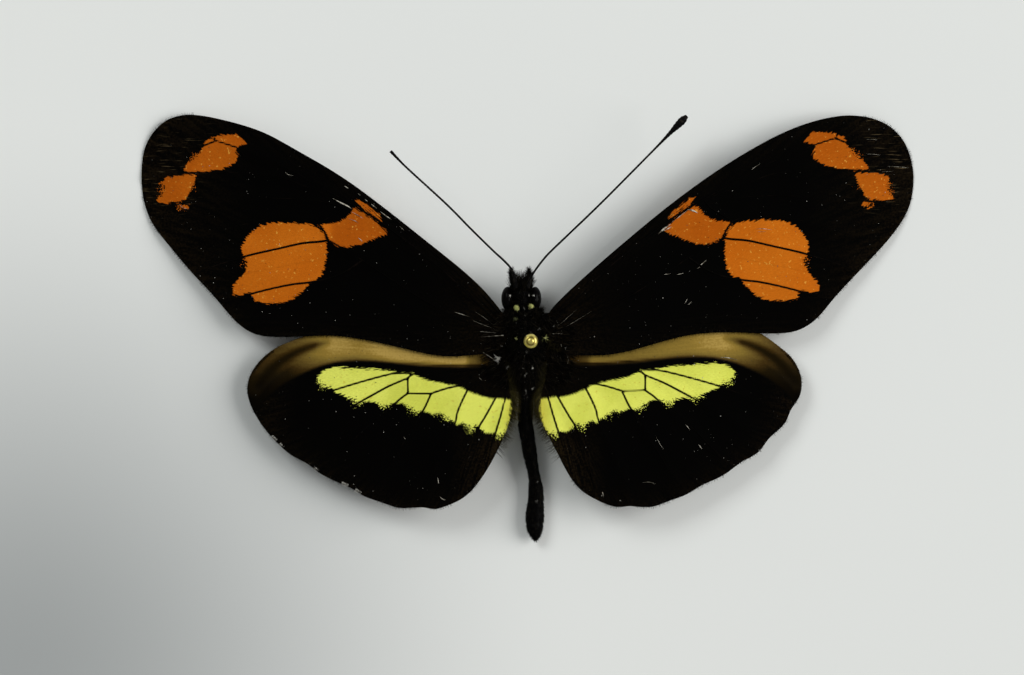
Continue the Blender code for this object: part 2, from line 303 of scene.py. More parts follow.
# each vein is its route and its radius at the start and the end
FOREWING_VEINS = [
    ([(2.3, 3.0), (5.0, 5.7), (10.0, 10.0), (15.0, 14.1), (20.0, 17.55), (25.0, 20.4),
      (29.0, 21.9)], 0.16, 0.07),
    ([(2.5, 2.6), (6.0, 6.0), (10.0, 9.65), (12.5, 11.85), (13.5, 12.7)], 0.13, 0.05),
    ([(2.5, 2.0), (8.0, 7.3), (13.7, 11.75), (15.6, 13.0), (17.2, 13.95), (20.0, 15.5), (23.5, 17.5),
      (27.3, 19.1), (28.8, 19.65), (30.0, 20.05), (30.7, 20.27)], 0.15, 0.07),
    ([(30.7, 20.27), (31.0, 20.75), (31.7, 21.9)], 0.07, 0.05),
    ([(30.7, 20.27), (31.4, 20.0), (32.5, 19.65), (34.5, 19.6), (37.3, 19.7)], 0.07, 0.05),
    ([(17.5, 14.1), (21.0, 15.4), (25.0, 16.8), (30.0, 17.12), (34.4, 16.98), (38.3, 16.65)], 0.09, 0.05),
    ([(17.9, 13.6), (21.0, 14.3), (26.0, 14.5), (32.0, 14.2), (34.0, 14.0), (38.0, 13.5)], 0.08, 0.05),
    ([(20.4, 11.95), (22.0, 12.45), (25.0, 12.5), (29.0, 11.6), (33.0, 10.4), (36.1, 10.3)], 0.08, 0.05),
    ([(17.5, 14.1), (18.3, 13.2), (20.4, 11.95)], 0.06, 0.12),
    ([(20.4, 11.95), (19.8, 11.15), (19.4, 10.3)], 0.12, 0.14),
    ([(19.4, 10.3), (20.3, 10.15), (22.0, 10.0), (24.5, 9.45), (27.0, 8.9), (28.4, 8.5), (31.0, 7.7),
      (33.0, 6.8)], 0.2, 0.13),
    ([(16.0, 8.3), (18.2, 6.9), (20.6, 6.2), (23.0, 5.9), (25.0, 5.5), (27.0, 5.0), (28.3, 4.62),
      (30.9, 3.9)], 0.2, 0.14),
    ([(2.5, 0.9), (6.0, 2.3), (10.0, 4.4), (13.0, 6.3), (16.0, 8.3), (18.0, 9.5), (19.4, 10.3)], 0.13, 0.08),
    ([(2.6, -0.1), (6.0, 0.1), (10.0, 0.9), (15.0, 1.6), (20.0, 1.9), (25.0, 1.75), (28.2, 1.6)], 0.1, 0.05),
]
FOREWING_CREASES = [
    [(20.5, 8.3), (23.0, 7.9), (24.9, 7.5), (28.0, 6.9), (32.3, 5.9)],
    [(18.6, 11.6), (16.5, 11.3), (14.5, 10.9), (10.0, 7.6), (5.0, 3.4)],
]

# %% The hindwing's band and veins
HINDWING_PATCHES = [
    [(0.75, -6.5), (1.1, -5.75), (2.5, -5.45), (3.5, -5.4), (4.5, -5.1), (5.6, -4.7), (6.3, -4.3),
     (7.0, -4.1), (8.0, -3.85), (9.5, -3.55), (10.5, -3.15), (11.2, -2.8), (12.3, -2.75), (13.0, -2.6),
     (14.5, -2.35), (16.0, -2.25), (17.5, -2.15), (19.0, -2.1), (19.9, -2.3), (20.5, -2.7), (20.85, -3.2),
     (20.55, -3.75), (20.2, -4.15), (19.3, -4.4), (18.9, -4.8), (18.2, -5.1), (17.3, -5.55), (16.6, -5.9),
     (15.6, -5.8), (14.9, -5.95), (14.0, -6.4), (13.3, -6.1), (12.6, -6.0), (12.0, -6.2), (11.3, -6.65),
     (10.8, -7.0), (10.3, -6.8), (9.8, -7.0), (9.2, -7.15), (8.6, -7.05), (8.0, -7.5), (7.3, -7.85),
     (6.9, -8.3), (6.3, -8.1), (5.8, -8.45), (5.4, -8.75), (4.9, -8.4), (4.4, -8.8), (4.0, -9.15),
     (3.3, -9.15), (2.8, -9.5), (2.3, -9.3), (1.85, -9.1), (1.35, -8.4), (0.95, -7.4)],
]
HIDDEN = 0.03  # the radius of a vein that lies under the satin scales
HINDWING_VEINS = [
    ([(2.3, -0.5), (5.0, -0.6), (9.0, -0.5), (14.0, 0.2), (18.0, 0.7), (21.0, 0.4), (23.2, -0.25),
      (25.0, -1.5), (26.2, -3.0)], HIDDEN, HIDDEN),
    ([(2.3, -1.9), (5.2, -2.25), (8.5, -2.1), (12.0, -1.75), (15.0, -1.6), (18.0, -1.75), (21.0, -2.2),
      (24.0, -3.3), (27.0, -5.0)], HIDDEN, HIDDEN),
    ([(2.2, -2.5), (6.0, -2.75), (9.0, -2.85), (11.0, -3.0), (11.65, -3.4)], 0.11, 0.1),
    ([(11.3, -2.9), (13.0, -2.92), (14.5, -3.23), (16.5, -3.75), (18.5, -4.32), (19.5, -4.65), (22.5, -5.7),
      (26.1, -6.9)], 0.1, 0.05),
    ([(11.65, -3.4), (13.5, -4.15), (15.0, -4.92), (17.0, -6.0), (20.0, -7.7), (23.9, -9.9)], 0.12, 0.05),
    ([(11.65, -3.4), (11.68, -4.1), (11.65, -4.9)], 0.07, 0.08),
    ([(11.65, -4.9), (12.5, -5.5), (13.2, -6.1), (16.5, -8.8), (20.2, -12.6)], 0.09, 0.05),
    ([(11.65, -4.9), (10.6, -4.95), (9.35, -4.97)], 0.08, 0.08),
    ([(9.35, -4.97), (9.9, -6.15), (10.4, -7.0), (12.6, -10.5), (15.6, -15.3)], 0.09, 0.05),
    ([(2.2, -3.2), (5.0, -4.0), (6.9, -4.3), (8.0, -4.55), (9.35, -4.97)], 0.1, 0.09),
    ([(5.2, -4.05), (5.78, -4.8), (6.7, -6.7), (7.15, -8.3), (8.9, -12.0), (10.1, -16.2)], 0.09, 0.05),
    ([(2.1, -3.8), (3.05, -5.7), (4.15, -7.6), (4.7, -8.5), (5.9, -11.5), (6.7, -15.5)], 0.09, 0.05),
    ([(1.7, -4.2), (2.0, -5.6), (2.47, -7.3), (2.88, -8.6), (3.7, -11.2), (4.2, -12.9)], 0.08, 0.05),
]
HINDWING_CREASES = [
    [(19.6, 0.3), (21.5, -0.15), (23.5, -1.0), (25.2, -2.2), (26.6, -3.9)],
    [(4.0, -2.32), (8.5, -2.15), (12.0, -1.85), (14.2, -1.72)],
]
GOLD_ZONE = [
    (3.3, -2.35), (4.5, -2.55), (8.0, -2.45), (10.5, -2.3), (13.0, -2.0), (15.5, -1.75), (18.0, -1.75),
    (20.0, -2.1), (22.0, -2.85), (24.0, -3.9), (26.0, -5.6), (27.8, -8.5), (30.0, -6.0), (30.0, 0.0),
    (22.0, 3.5), (12.0, 3.0), (4.0, 1.2), (3.2, -1.2),
]

VEINS = {"forewing": FOREWING_VEINS, "hindwing": HINDWING_VEINS}
VEIN_ROUTES = {kind: [route for route, *_ in veins] for kind, veins in VEINS.items()}
CREASES = {"forewing": FOREWING_CREASES, "hindwing": HINDWING_CREASES}
PATCHES = {"forewing": FOREWING_PATCHES, "hindwing": HINDWING_PATCHES}
# where a patch ends in loose, dusty scales: (across, along, radius)
POWDER = {
    "forewing": [
        (36.5, 15.4, 1.1), (32.6, 15.3, 0.9), (28.3, 7.9, 0.9), (34.3, 13.6, 0.8), (33.0, 18.8, 1.0),
    ],
    "hindwing": [
        (2.5, -9.5, 1.2), (5.5, -8.9, 1.4), (8.5, -7.9, 1.4), (11.5, -7.0, 1.2), (14.0, -6.4, 1.2),
        (17.0, -6.2, 1.4), (20.3, -4.4, 1.4), (1.2, -6.5, 0.8),
    ],
}

# how the left wings' pattern was turned (degrees, about the hinge) and shifted
SETTING = {
    "forewing_right": (0.0, (0.0, 0.0)),
    "forewing_left": (0.0, (0.5, -0.25)),
    "hindwing_right": (0.0, (0.0, 0.0)),
    "hindwing_left": (-1.0, (0.35, -0.12)),
}
HINGE_POINT = {"forewing": Vector((1.9, 1.0)), "hindwing": Vector((1.9, -2.0))}


def set_out(points, wing):
    """The pattern's points as they lie on one wing."""
    turn, shift = SETTING[wing.name]
    hinge = HINGE_POINT[wing.kind]
    turned = Matrix.Rotation(math.radians(turn), 2)
    return [hinge + turned @ (Vector(p) - hinge) + Vector(shift) for p in points]


for kind, veins in VEINS.items():
    print(kind, "patches:", len(PATCHES[kind]), "veins:", len(veins))

# %% [markdown]
# ## Distances for the pattern
# The shader has to know how far each point of the wing lies from the edge of a patch, from a vein
# and from the wing's own edge. These distances are stored on the mesh as attributes. The shader
# then roughens them with noise, and so draws the ragged rows of scales that end each patch.


# %% Curves and distances
def smooth_route(points, steps, closed=False):
    """A Catmull-Rom curve through the points."""
    count = len(points)
    spans = count if closed else count - 1
    found = []
    for i in range(spans):
        if closed:
            a, b, c, d = (points[(i + k) % count] for k in (-1, 0, 1, 2))
        else:
            a, b, c, d = (points[min(max(i + k, 0), count - 1)] for k in (-1, 0, 1, 2))
        for step in range(steps):
            t = step / steps
            curve = 2 * b + (c - a) * t + (2 * a - 5 * b + 4 * c - d) * t**2
            found.append(0.5 * (curve + (3 * b - a - 3 * c + d) * t**3))
    if not closed:
        found.append(points[-1].copy())
    return found


def distance_to_line(places, line):
    """The distance from each of many places to a line of points, in numpy."""
    best = np.full(len(places), 1e9)
    for a, b in zip(line[:-1], line[1:]):
        a, b = np.array(a[:2]), np.array(b[:2])
        run = b - a
        share = np.clip((places - a) @ run / max(run @ run, 1e-12), 0, 1)
        best = np.minimum(best, np.hypot(*(places - a - share[:, None] * run).T))
    return best


def to_margin(places, ring):
    """The distance from each place to a closed ring of points."""
    return distance_to_line(places, ring + ring[:1])


def inside(places, ring):
    """True for the places that lie inside a closed ring of points."""
    found = np.zeros(len(places), bool)
    x, y = places.T
    for a, b in zip(ring, ring[1:] + ring[:1]):
        if a[1] != b[1]:
            crosses = (a[1] > y) != (b[1] > y)
            found ^= crosses & (x < (b[0] - a[0]) * (y - a[1]) / (b[1] - a[1]) + a[0])
    return found


PATCH_STEPS = 4
FAR = 4.0  # distances are cut off here


def depth_inside(places, outlines, wing):
    """How deep each place lies inside the nearest outline: negative outside."""
    best = np.full(len(places), -FAR)
    for outline in outlines:
        ring = smooth_route(set_out(outline, wing), PATCH_STEPS, closed=True)
        gap = to_margin(places, ring)
        best = np.maximum(best, np.where(inside(places, ring), gap, -gap))
    return np.clip(best, -FAR, FAR)


def nearest_route(places, routes, wing):
    """The distance from each place to the nearest of several routes."""
    lines = [smooth_route(set_out(route, wing), PATCH_STEPS) for route in routes]
    return np.minimum(np.min([distance_to_line(places, line) for line in lines], axis=0), FAR)


def rise(values, start, end):
    """0 as far as start, 1 from end on, and even in between; end may be the smaller one."""
    return np.clip((values - start) / (end - start), 0, 1)


def peak(distance, width):
    """1 on a line, and less and less away from it."""
    return np.exp(-((distance / width) ** 2))


# %% [markdown]
# ## The membranes
# The solid wing's top gives the outline. It is flattened, dissolved to one face and diced by many
# straight cuts, so that the pattern has points to sit on. Then it gets a thickness of a twentieth
# of a millimetre, a soft ridge along every vein, and its droop.

# %% Membranes
DICE = 0.2
EDGE_STEP = 0.7
SMOOTHINGS = {"forewing": 8, "hindwing": 3}
MEMBRANE = 0.05
RIDGE = 0.07
CREASE_DEPTH = 0.5 * RIDGE
RIDGE_WIDTH = 0.55
RIPPLE = 0.035


def wing_sheet(wing):
    """The wing's outline as one flat sheet of small cells, in plan millimetres."""
    bm = bmesh.new()
    bm.from_mesh(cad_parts[wing.name].data)
    bmesh.ops.remove_doubles(bm, verts=bm.verts, dist=0.001 * MM)
    bm.normal_update()
    bmesh.ops.delete(bm, geom=[f for f in bm.faces if f.normal.z < 0.5], context="FACES")
    bmesh.ops.scale(bm, vec=(1 / MM, 1 / MM, 0), verts=bm.verts)
    bmesh.ops.translate(bm, vec=(-MIDLINE, 0, 0), verts=bm.verts)
    if wing.side < 0:
        bmesh.ops.scale(bm, vec=(-1, 1, 1), verts=bm.verts)
        bmesh.ops.reverse_faces(bm, faces=bm.faces)
    bmesh.ops.dissolve_faces(bm, faces=bm.faces)
    long_edges = [e for e in bm.edges if e.calc_length() > EDGE_STEP]
    bmesh.ops.subdivide_edges(bm, edges=long_edges, cuts=2)
    for _ in range(SMOOTHINGS[wing.kind]):
        bmesh.ops.smooth_vert(bm, verts=bm.verts, factor=0.5, use_axis_x=True, use_axis_y=True)
    bm.faces.ensure_lookup_table()
    outline = [v.co.copy() for v in bm.faces[0].verts]
    for axis in (0, 1):
        low = min(v.co[axis] for v in bm.verts)
        high = max(v.co[axis] for v in bm.verts)
        cuts = int((high - low) / DICE)
        normal = Vector((axis == 0, axis == 1, 0))
        for i in range(1, cuts):
            geometry = list(bm.faces) + list(bm.edges) + list(bm.verts)
            at = normal * (low + (high - low) * i / cuts)
            bmesh.ops.bisect_plane(bm, geom=geometry, dist=0.002, plane_co=at, plane_no=normal)
    bmesh.ops.remove_doubles(bm, verts=bm.verts, dist=0.01)
    return bm, outline


def bent_sheet(wing, bm):
    """Lifts the flat sheet to the wing's droop, with a soft ridge along each vein and crease."""
    places = np.array([v.co[:2] for v in bm.verts])
    x, y = places.T
    vein = nearest_route(places, VEIN_ROUTES[wing.kind], wing)
    crease = nearest_route(places, CREASES[wing.kind], wing)
    lift = RIDGE * peak(vein, RIDGE_WIDTH) - CREASE_DEPTH * peak(crease, RIDGE_WIDTH)
    lift += RIPPLE * (np.sin(x * 0.9 + y * 0.5) + np.sin(x * 0.35 - y * 1.1))
    for vert, raised in zip(bm.verts, lift):
        vert.co = wing.place(vert.co.x, vert.co.y, float(raised))
    if wing.side < 0:
        bmesh.ops.reverse_faces(bm, faces=bm.faces)


def as_mesh(obj):
    """Replaces an object's curve or modifiers by the mesh they make."""
    graph = bpy.context.evaluated_depsgraph_get()
    done = bpy.data.meshes.new_from_object(
        obj.evaluated_get(graph), preserve_all_data_layers=True, depsgraph=graph
    )
    name = obj.name
    bpy.data.objects.remove(obj)
    made = link_object(name, done)
    done.name = name
    return made


def finish_piece(obj, finish, replaced=None):
    """Gives a piece its finish and its body, and hides the solid that it stands for, if any."""
    obj.data.materials.clear()
    obj.data.materials.append(finish)
    obj.data.shade_smooth()
    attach(obj, "root")
    if replaced:
        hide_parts(replaced)
    return obj


def coordinates(mesh):
    """A mesh's vertices as an array, in millimetres."""
    flat = np.empty(len(mesh.vertices) * 3)
    mesh.vertices.foreach_get("co", flat)
    return flat.reshape(-1, 3) / MM


def keep_fact(mesh, name, values):
    """Stores one number for each vertex."""
    data = mesh.attributes.new(name, "FLOAT", "POINT").data
    data.foreach_set("value", np.asarray(values, dtype=np.float32))


ARC_SCALE = 25.0  # the arc across the rows is measured this far out


def map_rows(mesh, wing, places):
    """A UV map of distance from the hinge and arc around it, the way the rows of scales lie."""
    from_hinge = places - np.array(HINGE_POINT[wing.kind])
    arc = np.arctan2(from_hinge[:, 1], from_hinge[:, 0]) * ARC_SCALE
    rows = np.column_stack((np.hypot(*from_hinge.T), arc))
    corner = np.empty(len(mesh.loops), dtype=np.int32)
    mesh.loops.foreach_get("vertex_index", corner)
    mesh.uv_layers.new(name="rows").data.foreach_set("uv", rows[corner].ravel().astype(np.float32))


# how bright the satin is at each distance from the midline
SATIN_REACH = (3.4, 4.1, 5.8, 6.4, 8.0, 10.0, 12.0, 16.0, 18.0, 19.5, 21.0, 22.0, 23.0, 24.5, 26.5, 28.5)
SATIN_LEVEL = (0.0, 0.15, 0.3, 0.68, 0.64, 0.57, 0.6, 0.76, 0.92, 1.0, 0.92, 0.8, 0.68, 0.52, 0.34, 0.15)
# painted light: the left satin's colour is made brighter near its root
LEFT_PAINTED_LIGHT = 1.75  # the left satin catches a little more light near the root


# each of these is given at some distances from the midline
RIM_WIDTH = ((12.0, 17.0, 22.0), (0.4, 0.6, 1.0))
FOLD_WIDTH = ((19.0, 22.0, 26.0), (0.25, 0.6, 0.9))
BELOW_FOLD = ((19.5, 22.0, 24.0, 27.0), (0.0, 0.35, 0.72, 0.85))
# how much each line takes from the satin's brightness; along the fold and the seam this is painted shade
RIM_DIM, FOLD_SHADE, SEAM_SHADE, MARGIN_DIM, REAR_DIM = 0.6, 0.85, 0.75, 0.45, 0.7
SEAM_WIDTH = 0.1
MARGIN_WIDTH = 0.6
FOLD_START = (19.0, 0.6)  # where the fold leaves the front edge


def faded(wing, places, outline):
    """How far the black has browned: at the root, towards the tip and along the rear margins."""
    x, y = places.T
    rubbed = np.exp(-to_margin(places, outline))
    hinge = HINGE_POINT[wing.kind]
    root = peak(np.hypot(x - hinge.x, y - hinge.y), 5.0)
    if wing.kind == "forewing":
        return np.clip(0.6 * root + 0.4 * rise(x, 27, 37) + 0.25 * rubbed, 0, 1)
    inner = rise(x, 8, 2) * rise(y, -8, -11)
    outer = rise(x, 23, 27) * rise(y, -11, -7)
    return np.clip(0.4 * root + 0.9 * inner + 0.4 * outer + 0.35 * rubbed, 0, 1)


def satin_shine(wing, places, outline, gold):
    """The satin's brightness: by its place, dimmed around its edge, with painted shade along the fold and
    the seam and painted light near the left wing's root.
    """
    x, y = places.T
    level = np.interp(x, SATIN_REACH, SATIN_LEVEL)
    fold, seam = (nearest_route(places, [route], wing) for route in HINDWING_CREASES)
    level *= 1 - RIM_DIM * peak(np.maximum(gold, 0), np.interp(x, *RIM_WIDTH))
    # painted shade along the fold and the seam
    level *= 1 - FOLD_SHADE * peak(fold, np.interp(x, *FOLD_WIDTH)) * rise(x, 18.8, 21.3)
    level *= 1 - SEAM_SHADE * peak(seam, SEAM_WIDTH) * rise(x, 14, 10)
    level *= 1 - MARGIN_DIM * peak(to_margin(places, outline), MARGIN_WIDTH)
    # below the fold the satin sinks into the black ground
    fold_line = np.array(set_out([FOLD_START, *HINDWING_CREASES[0][1:]], wing))
    below = rise(np.interp(x, *fold_line.T) - y, 0, 1.3)
    level *= 1 - below * np.interp(x, *BELOW_FOLD)
    level *= 1 - REAR_DIM * rise(y, -2.5, -7.5) * rise(x, 21, 24)
    # painted light near the left wing's root
    if wing.side < 0:
        level *= 1 + (LEFT_PAINTED_LIGHT - 1) * rise(x, 17, 13)
    return np.clip(level, 0, 1)


def worn_tone(wing, places):
    """Where a patch's own colour is duller: before the tip, over the cell and beside the body."""
    x, y = places.T
    if wing.kind == "forewing":
        return np.clip(rise(x, 19.9, 19.4) + rise(y, 13, 13.5), 0, 1)
    return rise(x, 2.7, 0.8)


def powdered(wing, places):
    """How dusty each place is, by the nearest powdery spot."""
    found = np.zeros(len(places))
    for x, y, radius in POWDER[wing.kind]:
        spot = np.array(set_out([(x, y)], wing)[0])
        found = np.maximum(found, 1 - np.hypot(*(places - spot).T) / radius)
    return found


def membrane(wing):
    """One finished wing membrane, with its facts for the shader."""
    bm, outline = wing_sheet(wing)
    bent_sheet(wing, bm)
    sheet = new_object(f"{wing.name}_membrane", bm)
    wall = sheet.modifiers.new("membrane", "SOLIDIFY")
    wall.thickness = MEMBRANE * MM
    wall.offset = 0
    sheet = as_mesh(sheet)
    mesh = sheet.data
    places = wing.plan(coordinates(mesh))
    x, y = places.T
    gold = shine = np.full(len(places), -FAR)
    if wing.kind == "hindwing":
        gold = depth_inside(places, [GOLD_ZONE], wing)
        shine = satin_shine(wing, places, outline, gold)
    normals = np.empty(len(mesh.vertices) * 3)
    mesh.vertices.foreach_get("normal", normals)
    facts = {
        "patch": depth_inside(places, PATCHES[wing.kind], wing),
        "vein": nearest_route(places, VEIN_ROUTES[wing.kind], wing),
        "crease": nearest_route(places, CREASES[wing.kind], wing),
        "gold": gold,
        "shine": np.maximum(shine, 0),
        "powder": powdered(wing, places),
        "age": faded(wing, places, outline),
        "worn": worn_tone(wing, places),
        "straw": rise(x, 31, 36) * rise(y, 12, 15),
        "under": normals[2::3] < -0.2,
    }
    for name, values in facts.items():
        keep_fact(mesh, name, values)
    map_rows(mesh, wing, places)
    return sheet, outline


membranes = {}
outlines = {}
for wing in WINGS:
    membranes[wing.name], outlines[wing.name] = membrane(wing)
    print(membranes[wing.name].name, "faces:", len(membranes[wing.name].data.polygons))

# %% [markdown]
# ## The wings' finish
# A butterfly's colour is in its scales, laid like roof tiles in rows around the hinge. The black
# scales soak up the light. The patch is decided by its stored distance, with noise drawn out
# along the rows to give the comb of scale tips at its edge.

# %% Shared effect: rows of scales
def new_group(name, kind, sockets):
    """A node group with its start and end; each socket is (title, way, type)."""
    group = bpy.data.node_groups.new(name, kind)
    for title, way, what in sockets:
        group.interface.new_socket(title, in_out=way, socket_type=f"NodeSocket{what}")
    return group, group.nodes.new("NodeGroupInput"), group.nodes.new("NodeGroupOutput")


def make_rows_group():
    """Rows of overlapping scales as a height, and a finer mottle that tells scale from scale."""
    sockets = (("Rows", "INPUT", "Vector"), ("Height", "OUTPUT", "Float"), ("Mottle", "OUTPUT", "Float"))
    group, start, end = new_group("scale_rows", "ShaderNodeTree", sockets)
    wave = node(
        group, "ShaderNodeTexWave", wave_type="BANDS", bands_direction="X", wave_profile="SAW",
        scale=1.3, distortion=1.2, detail=2.0, detail_scale=3.0,
    )
    group.links.new(start.outputs["Rows"], wave.inputs["Vector"])
    mottle = noise(group, start.outputs["Rows"], 1.0, 1.0, (3.0, 9.0, 1.0))
    group.links.new(maths(group, "ADD", wave.outputs["Fac"], mottle), end.inputs["Height"])
    group.links.new(mottle, end.inputs["Mottle"])
    return group


rows_group = make_rows_group()
print("group:", rows_group.name)

# %% Wing finishes
BLACK = (0.0006, 0.0005, 0.0004)
BROWN = (0.016, 0.010, 0.004)
STRAW = (0.12, 0.085, 0.04)
UNDER_BLACK = (0.012, 0.008, 0.006)
UNDER_SHARE = 0.7  # how far the underside takes its own duller colours
SATIN_COAT = 0.3
SATIN_STEPS = [  # brightness and colour
    (0.0, BLACK), (0.1, (0.012, 0.007, 0.001)), (0.2, (0.042, 0.022, 0.003)),
    (0.4, (0.135, 0.084, 0.015)), (0.6, (0.225, 0.148, 0.024)), (0.8, (0.30, 0.19, 0.03)),
    (1.0, (0.46, 0.305, 0.07)),
]


def wing_finish(name, patch_tones, worn_tint, under_tone):
    """Black scales, coloured patches with ragged ends, and the satin zone where it is stored."""
    made, tree, shader = material(name, BLACK, 0.75, specular=0.016)
    rows = node(tree, "ShaderNodeUVMap", uv_map="rows").outputs["UV"]
    where = object_space(tree)
    group = node(tree, "ShaderNodeGroup", node_tree=rows_group)
    tree.links.new(rows, group.inputs["Rows"])
    mottle = group.outputs["Mottle"]
    # the ragged end of the patch
    comb = maths(tree, "SUBTRACT", noise(tree, rows, 1.0, 3.0, (1.3, 5.2, 1.0)), 0.64)
    dust = maths(tree, "SUBTRACT", noise(tree, where, 7500.0, 3.0), 0.5)
    dust = maths(tree, "MULTIPLY", dust, maths(tree, "MULTIPLY", attribute(tree, "powder"), 4.5))
    depth = maths(tree, "MULTIPLY_ADD", comb, 0.95, attribute(tree, "patch"))
    in_patch = ramp(tree, maths(tree, "ADD", depth, dust), -0.06, 0.08)
    in_patch = maths(tree, "MULTIPLY", in_patch, ramp(tree, attribute(tree, "vein"), 0.06, 0.15))
    # the black ground, browner where it has aged
    streak = noise(tree, rows, 1.0, 4.0, (0.3, 2.6, 1.0))
    speckle = noise(tree, where, 5200.0, 3.0)
    worn = ramp(tree, maths(tree, "ADD", streak, speckle), 0.8, 1.35)
    ground = blend_colours(tree, maths(tree, "MULTIPLY", attribute(tree, "age"), worn), BLACK, BROWN)
    hair_streak = noise(tree, where, 1.0, 5.0, (450.0, 6500.0, 1.0))
    rubbed = maths(tree, "MULTIPLY", ramp(tree, hair_streak, 0.6, 0.75), attribute(tree, "straw"))
    ground = blend_colours(tree, rubbed, ground, STRAW)
    # the patch's own tone, mottled scale by scale and flecked, then darkened with painted shade along its
    # creases
    tone = blend_colours(tree, ramp(tree, noise(tree, where, 260.0, 3.0), 0.35, 0.65), *patch_tones[:2])
    dimmed = blend_colours(tree, 0.85, (0, 0, 0), tone)
    tone = blend_colours(tree, ramp(tree, mottle, 0.25, 0.75), tone, dimmed)
    dulled = blend_colours(tree, 1.0, tone, worn_tint, "MULTIPLY")
    tone = blend_colours(tree, attribute(tree, "worn"), tone, dulled)
    fleck = ramp(tree, noise(tree, where, 3300.0, 2.0), 0.64, 0.72)
    tone = blend_colours(tree, maths(tree, "MULTIPLY", fleck, 0.6), tone, patch_tones[2])
    # painted shade along the creases
    line = maths(tree, "MULTIPLY_ADD", ramp(tree, attribute(tree, "crease"), 0.0, 0.14), 0.3, 0.7)
    tone = blend_colours(tree, line, blend_colours(tree, 0.55, (0, 0, 0), tone), tone)
    colour = blend_colours(tree, in_patch, ground, tone)
    # the satin
    satin = node(tree, "ShaderNodeValToRGB")
    grain = ramp(tree, maths(tree, "ADD", streak, speckle), 0.6, 1.4)
    grain = maths(tree, "MULTIPLY_ADD", grain, 0.22, 0.87)
    shine = maths(tree, "MULTIPLY", attribute(tree, "shine"), grain)
    deep = ramp(tree, attribute(tree, "gold"), -0.12, 0.4)
    tree.links.new(maths(tree, "MULTIPLY", shine, deep), satin.inputs["Fac"])
    stops = satin.color_ramp.elements
    while len(stops) < len(SATIN_STEPS):
        stops.new(0.5)
    for stop, (level, shade) in zip(stops, SATIN_STEPS):
        stop.position = level
        stop.color = (*shade, 1.0)
    in_gold = ramp(tree, maths(tree, "MULTIPLY_ADD", comb, 0.4, attribute(tree, "gold")), -0.15, 0.1)
    colour = blend_colours(tree, in_gold, colour, satin.outputs["Color"])
    # the underside is duller
    dull = blend_colours(tree, in_patch, UNDER_BLACK, under_tone)
    paint(tree, shader, maths(tree, "MULTIPLY", attribute(tree, "under"), UNDER_SHARE), colour, dull)
    coat = maths(tree, "MULTIPLY", maths(tree, "MULTIPLY", in_gold, shine), SATIN_COAT)
    tree.links.new(coat, shader.inputs["Coat Weight"])
    shader.inputs["Coat Roughness"].default_value = 0.35
    bump(tree, shader, group.outputs["Height"], 0.02 * MM, 0.35)
    return made


ORANGE_TONES = ((0.58, 0.135, 0.006), (0.63, 0.158, 0.008), (0.85, 0.42, 0.06))
YELLOW_TONES = ((0.76, 0.80, 0.11), (0.88, 0.92, 0.15), (0.62, 0.50, 0.06))
orange_scales = wing_finish("orange_scales", ORANGE_TONES, (0.8, 0.73, 0.7), (0.52, 0.22, 0.1))
yellow_scales = wing_finish("yellow_scales", YELLOW_TONES, (0.82, 0.66, 0.45), (0.7, 0.68, 0.25))
for wing in WINGS:
    scales = orange_scales if wing.kind == "forewing" else yellow_scales
    finish_piece(membranes[wing.name], scales, wing.name)
print("wing finishes:", orange_scales.name, yellow_scales.name)

# %% [markdown]
# ## Veins
# The veins are hollow struts that taper from the hinge to the margin. One helper turns any number
# of tapered routes into one closed mesh. It serves here for the veins and later for antennae, legs
# and bristles.


# %% Threads
def threads(name, strands, finish, resolution=1, replaced=None):
    """Tapered round threads as one mesh; a strand is a list of (point in metres, radius in mm)."""
    curve = bpy.data.curves.new(name, "CURVE")
    curve.dimensions = "3D"
    curve.bevel_depth = MM
    curve.bevel_resolution = resolution
    curve.use_fill_caps = True
    for strand in strands:
        spline = curve.splines.new("POLY")
        spline.points.add(len(strand) - 1)
        for target, (spot, radius) in zip(spline.points, strand):
            target.co = (*spot, 1.0)
            target.radius = radius
    return finish_piece(as_mesh(link_object(name, curve)), finish, replaced)


def tapered(points, first, last):
    """Pairs each point with a radius that runs from first to last."""
    count = max(len(points) - 1, 1)
    return [(p, first + (last - first) * i / count) for i, p in enumerate(points)]


vein_finish, tree, shader = material("vein", (0.002, 0.0015, 0.001), 0.65, specular=0.02)
grain = ramp(tree, noise(tree, object_space(tree), 900.0, 3.0), 0.5, 0.75)
paint(tree, shader, grain, (0.0009, 0.0007, 0.0005), (0.005, 0.003, 0.002))

VEIN_STEPS = 5
VEIN_SLIM = 0.6  # a vein shows above the membrane by about this share of its breadth
for wing in WINGS:
    strands = []
    ring = outlines[wing.name]
    for route, first, last in VEINS[wing.kind]:
        if first == HIDDEN:
            continue
        line = smooth_route(set_out(route, wing), VEIN_STEPS)
        within = inside(np.array([p[:2] for p in line]), ring)
        line = [p for p, kept in zip(line, within) if kept]
        points = [wing.place(p.x, p.y, RIDGE) for p in line]
        strands.append(tapered(points, first * VEIN_SLIM, last * VEIN_SLIM))
    veins = threads(f"{wing.name}_veins", strands, vein_finish)
    print(veins.name, "faces:", len(veins.data.polygons))

# %% [markdown]
# ## Body
# The body is three lumps of hard skin, the head, the thorax with the wing muscles and the ringed
# abdomen. Each is a loft: a circle, extruded from station to station along the body. The loft is
# then fitted to the box of the solid that it replaces.


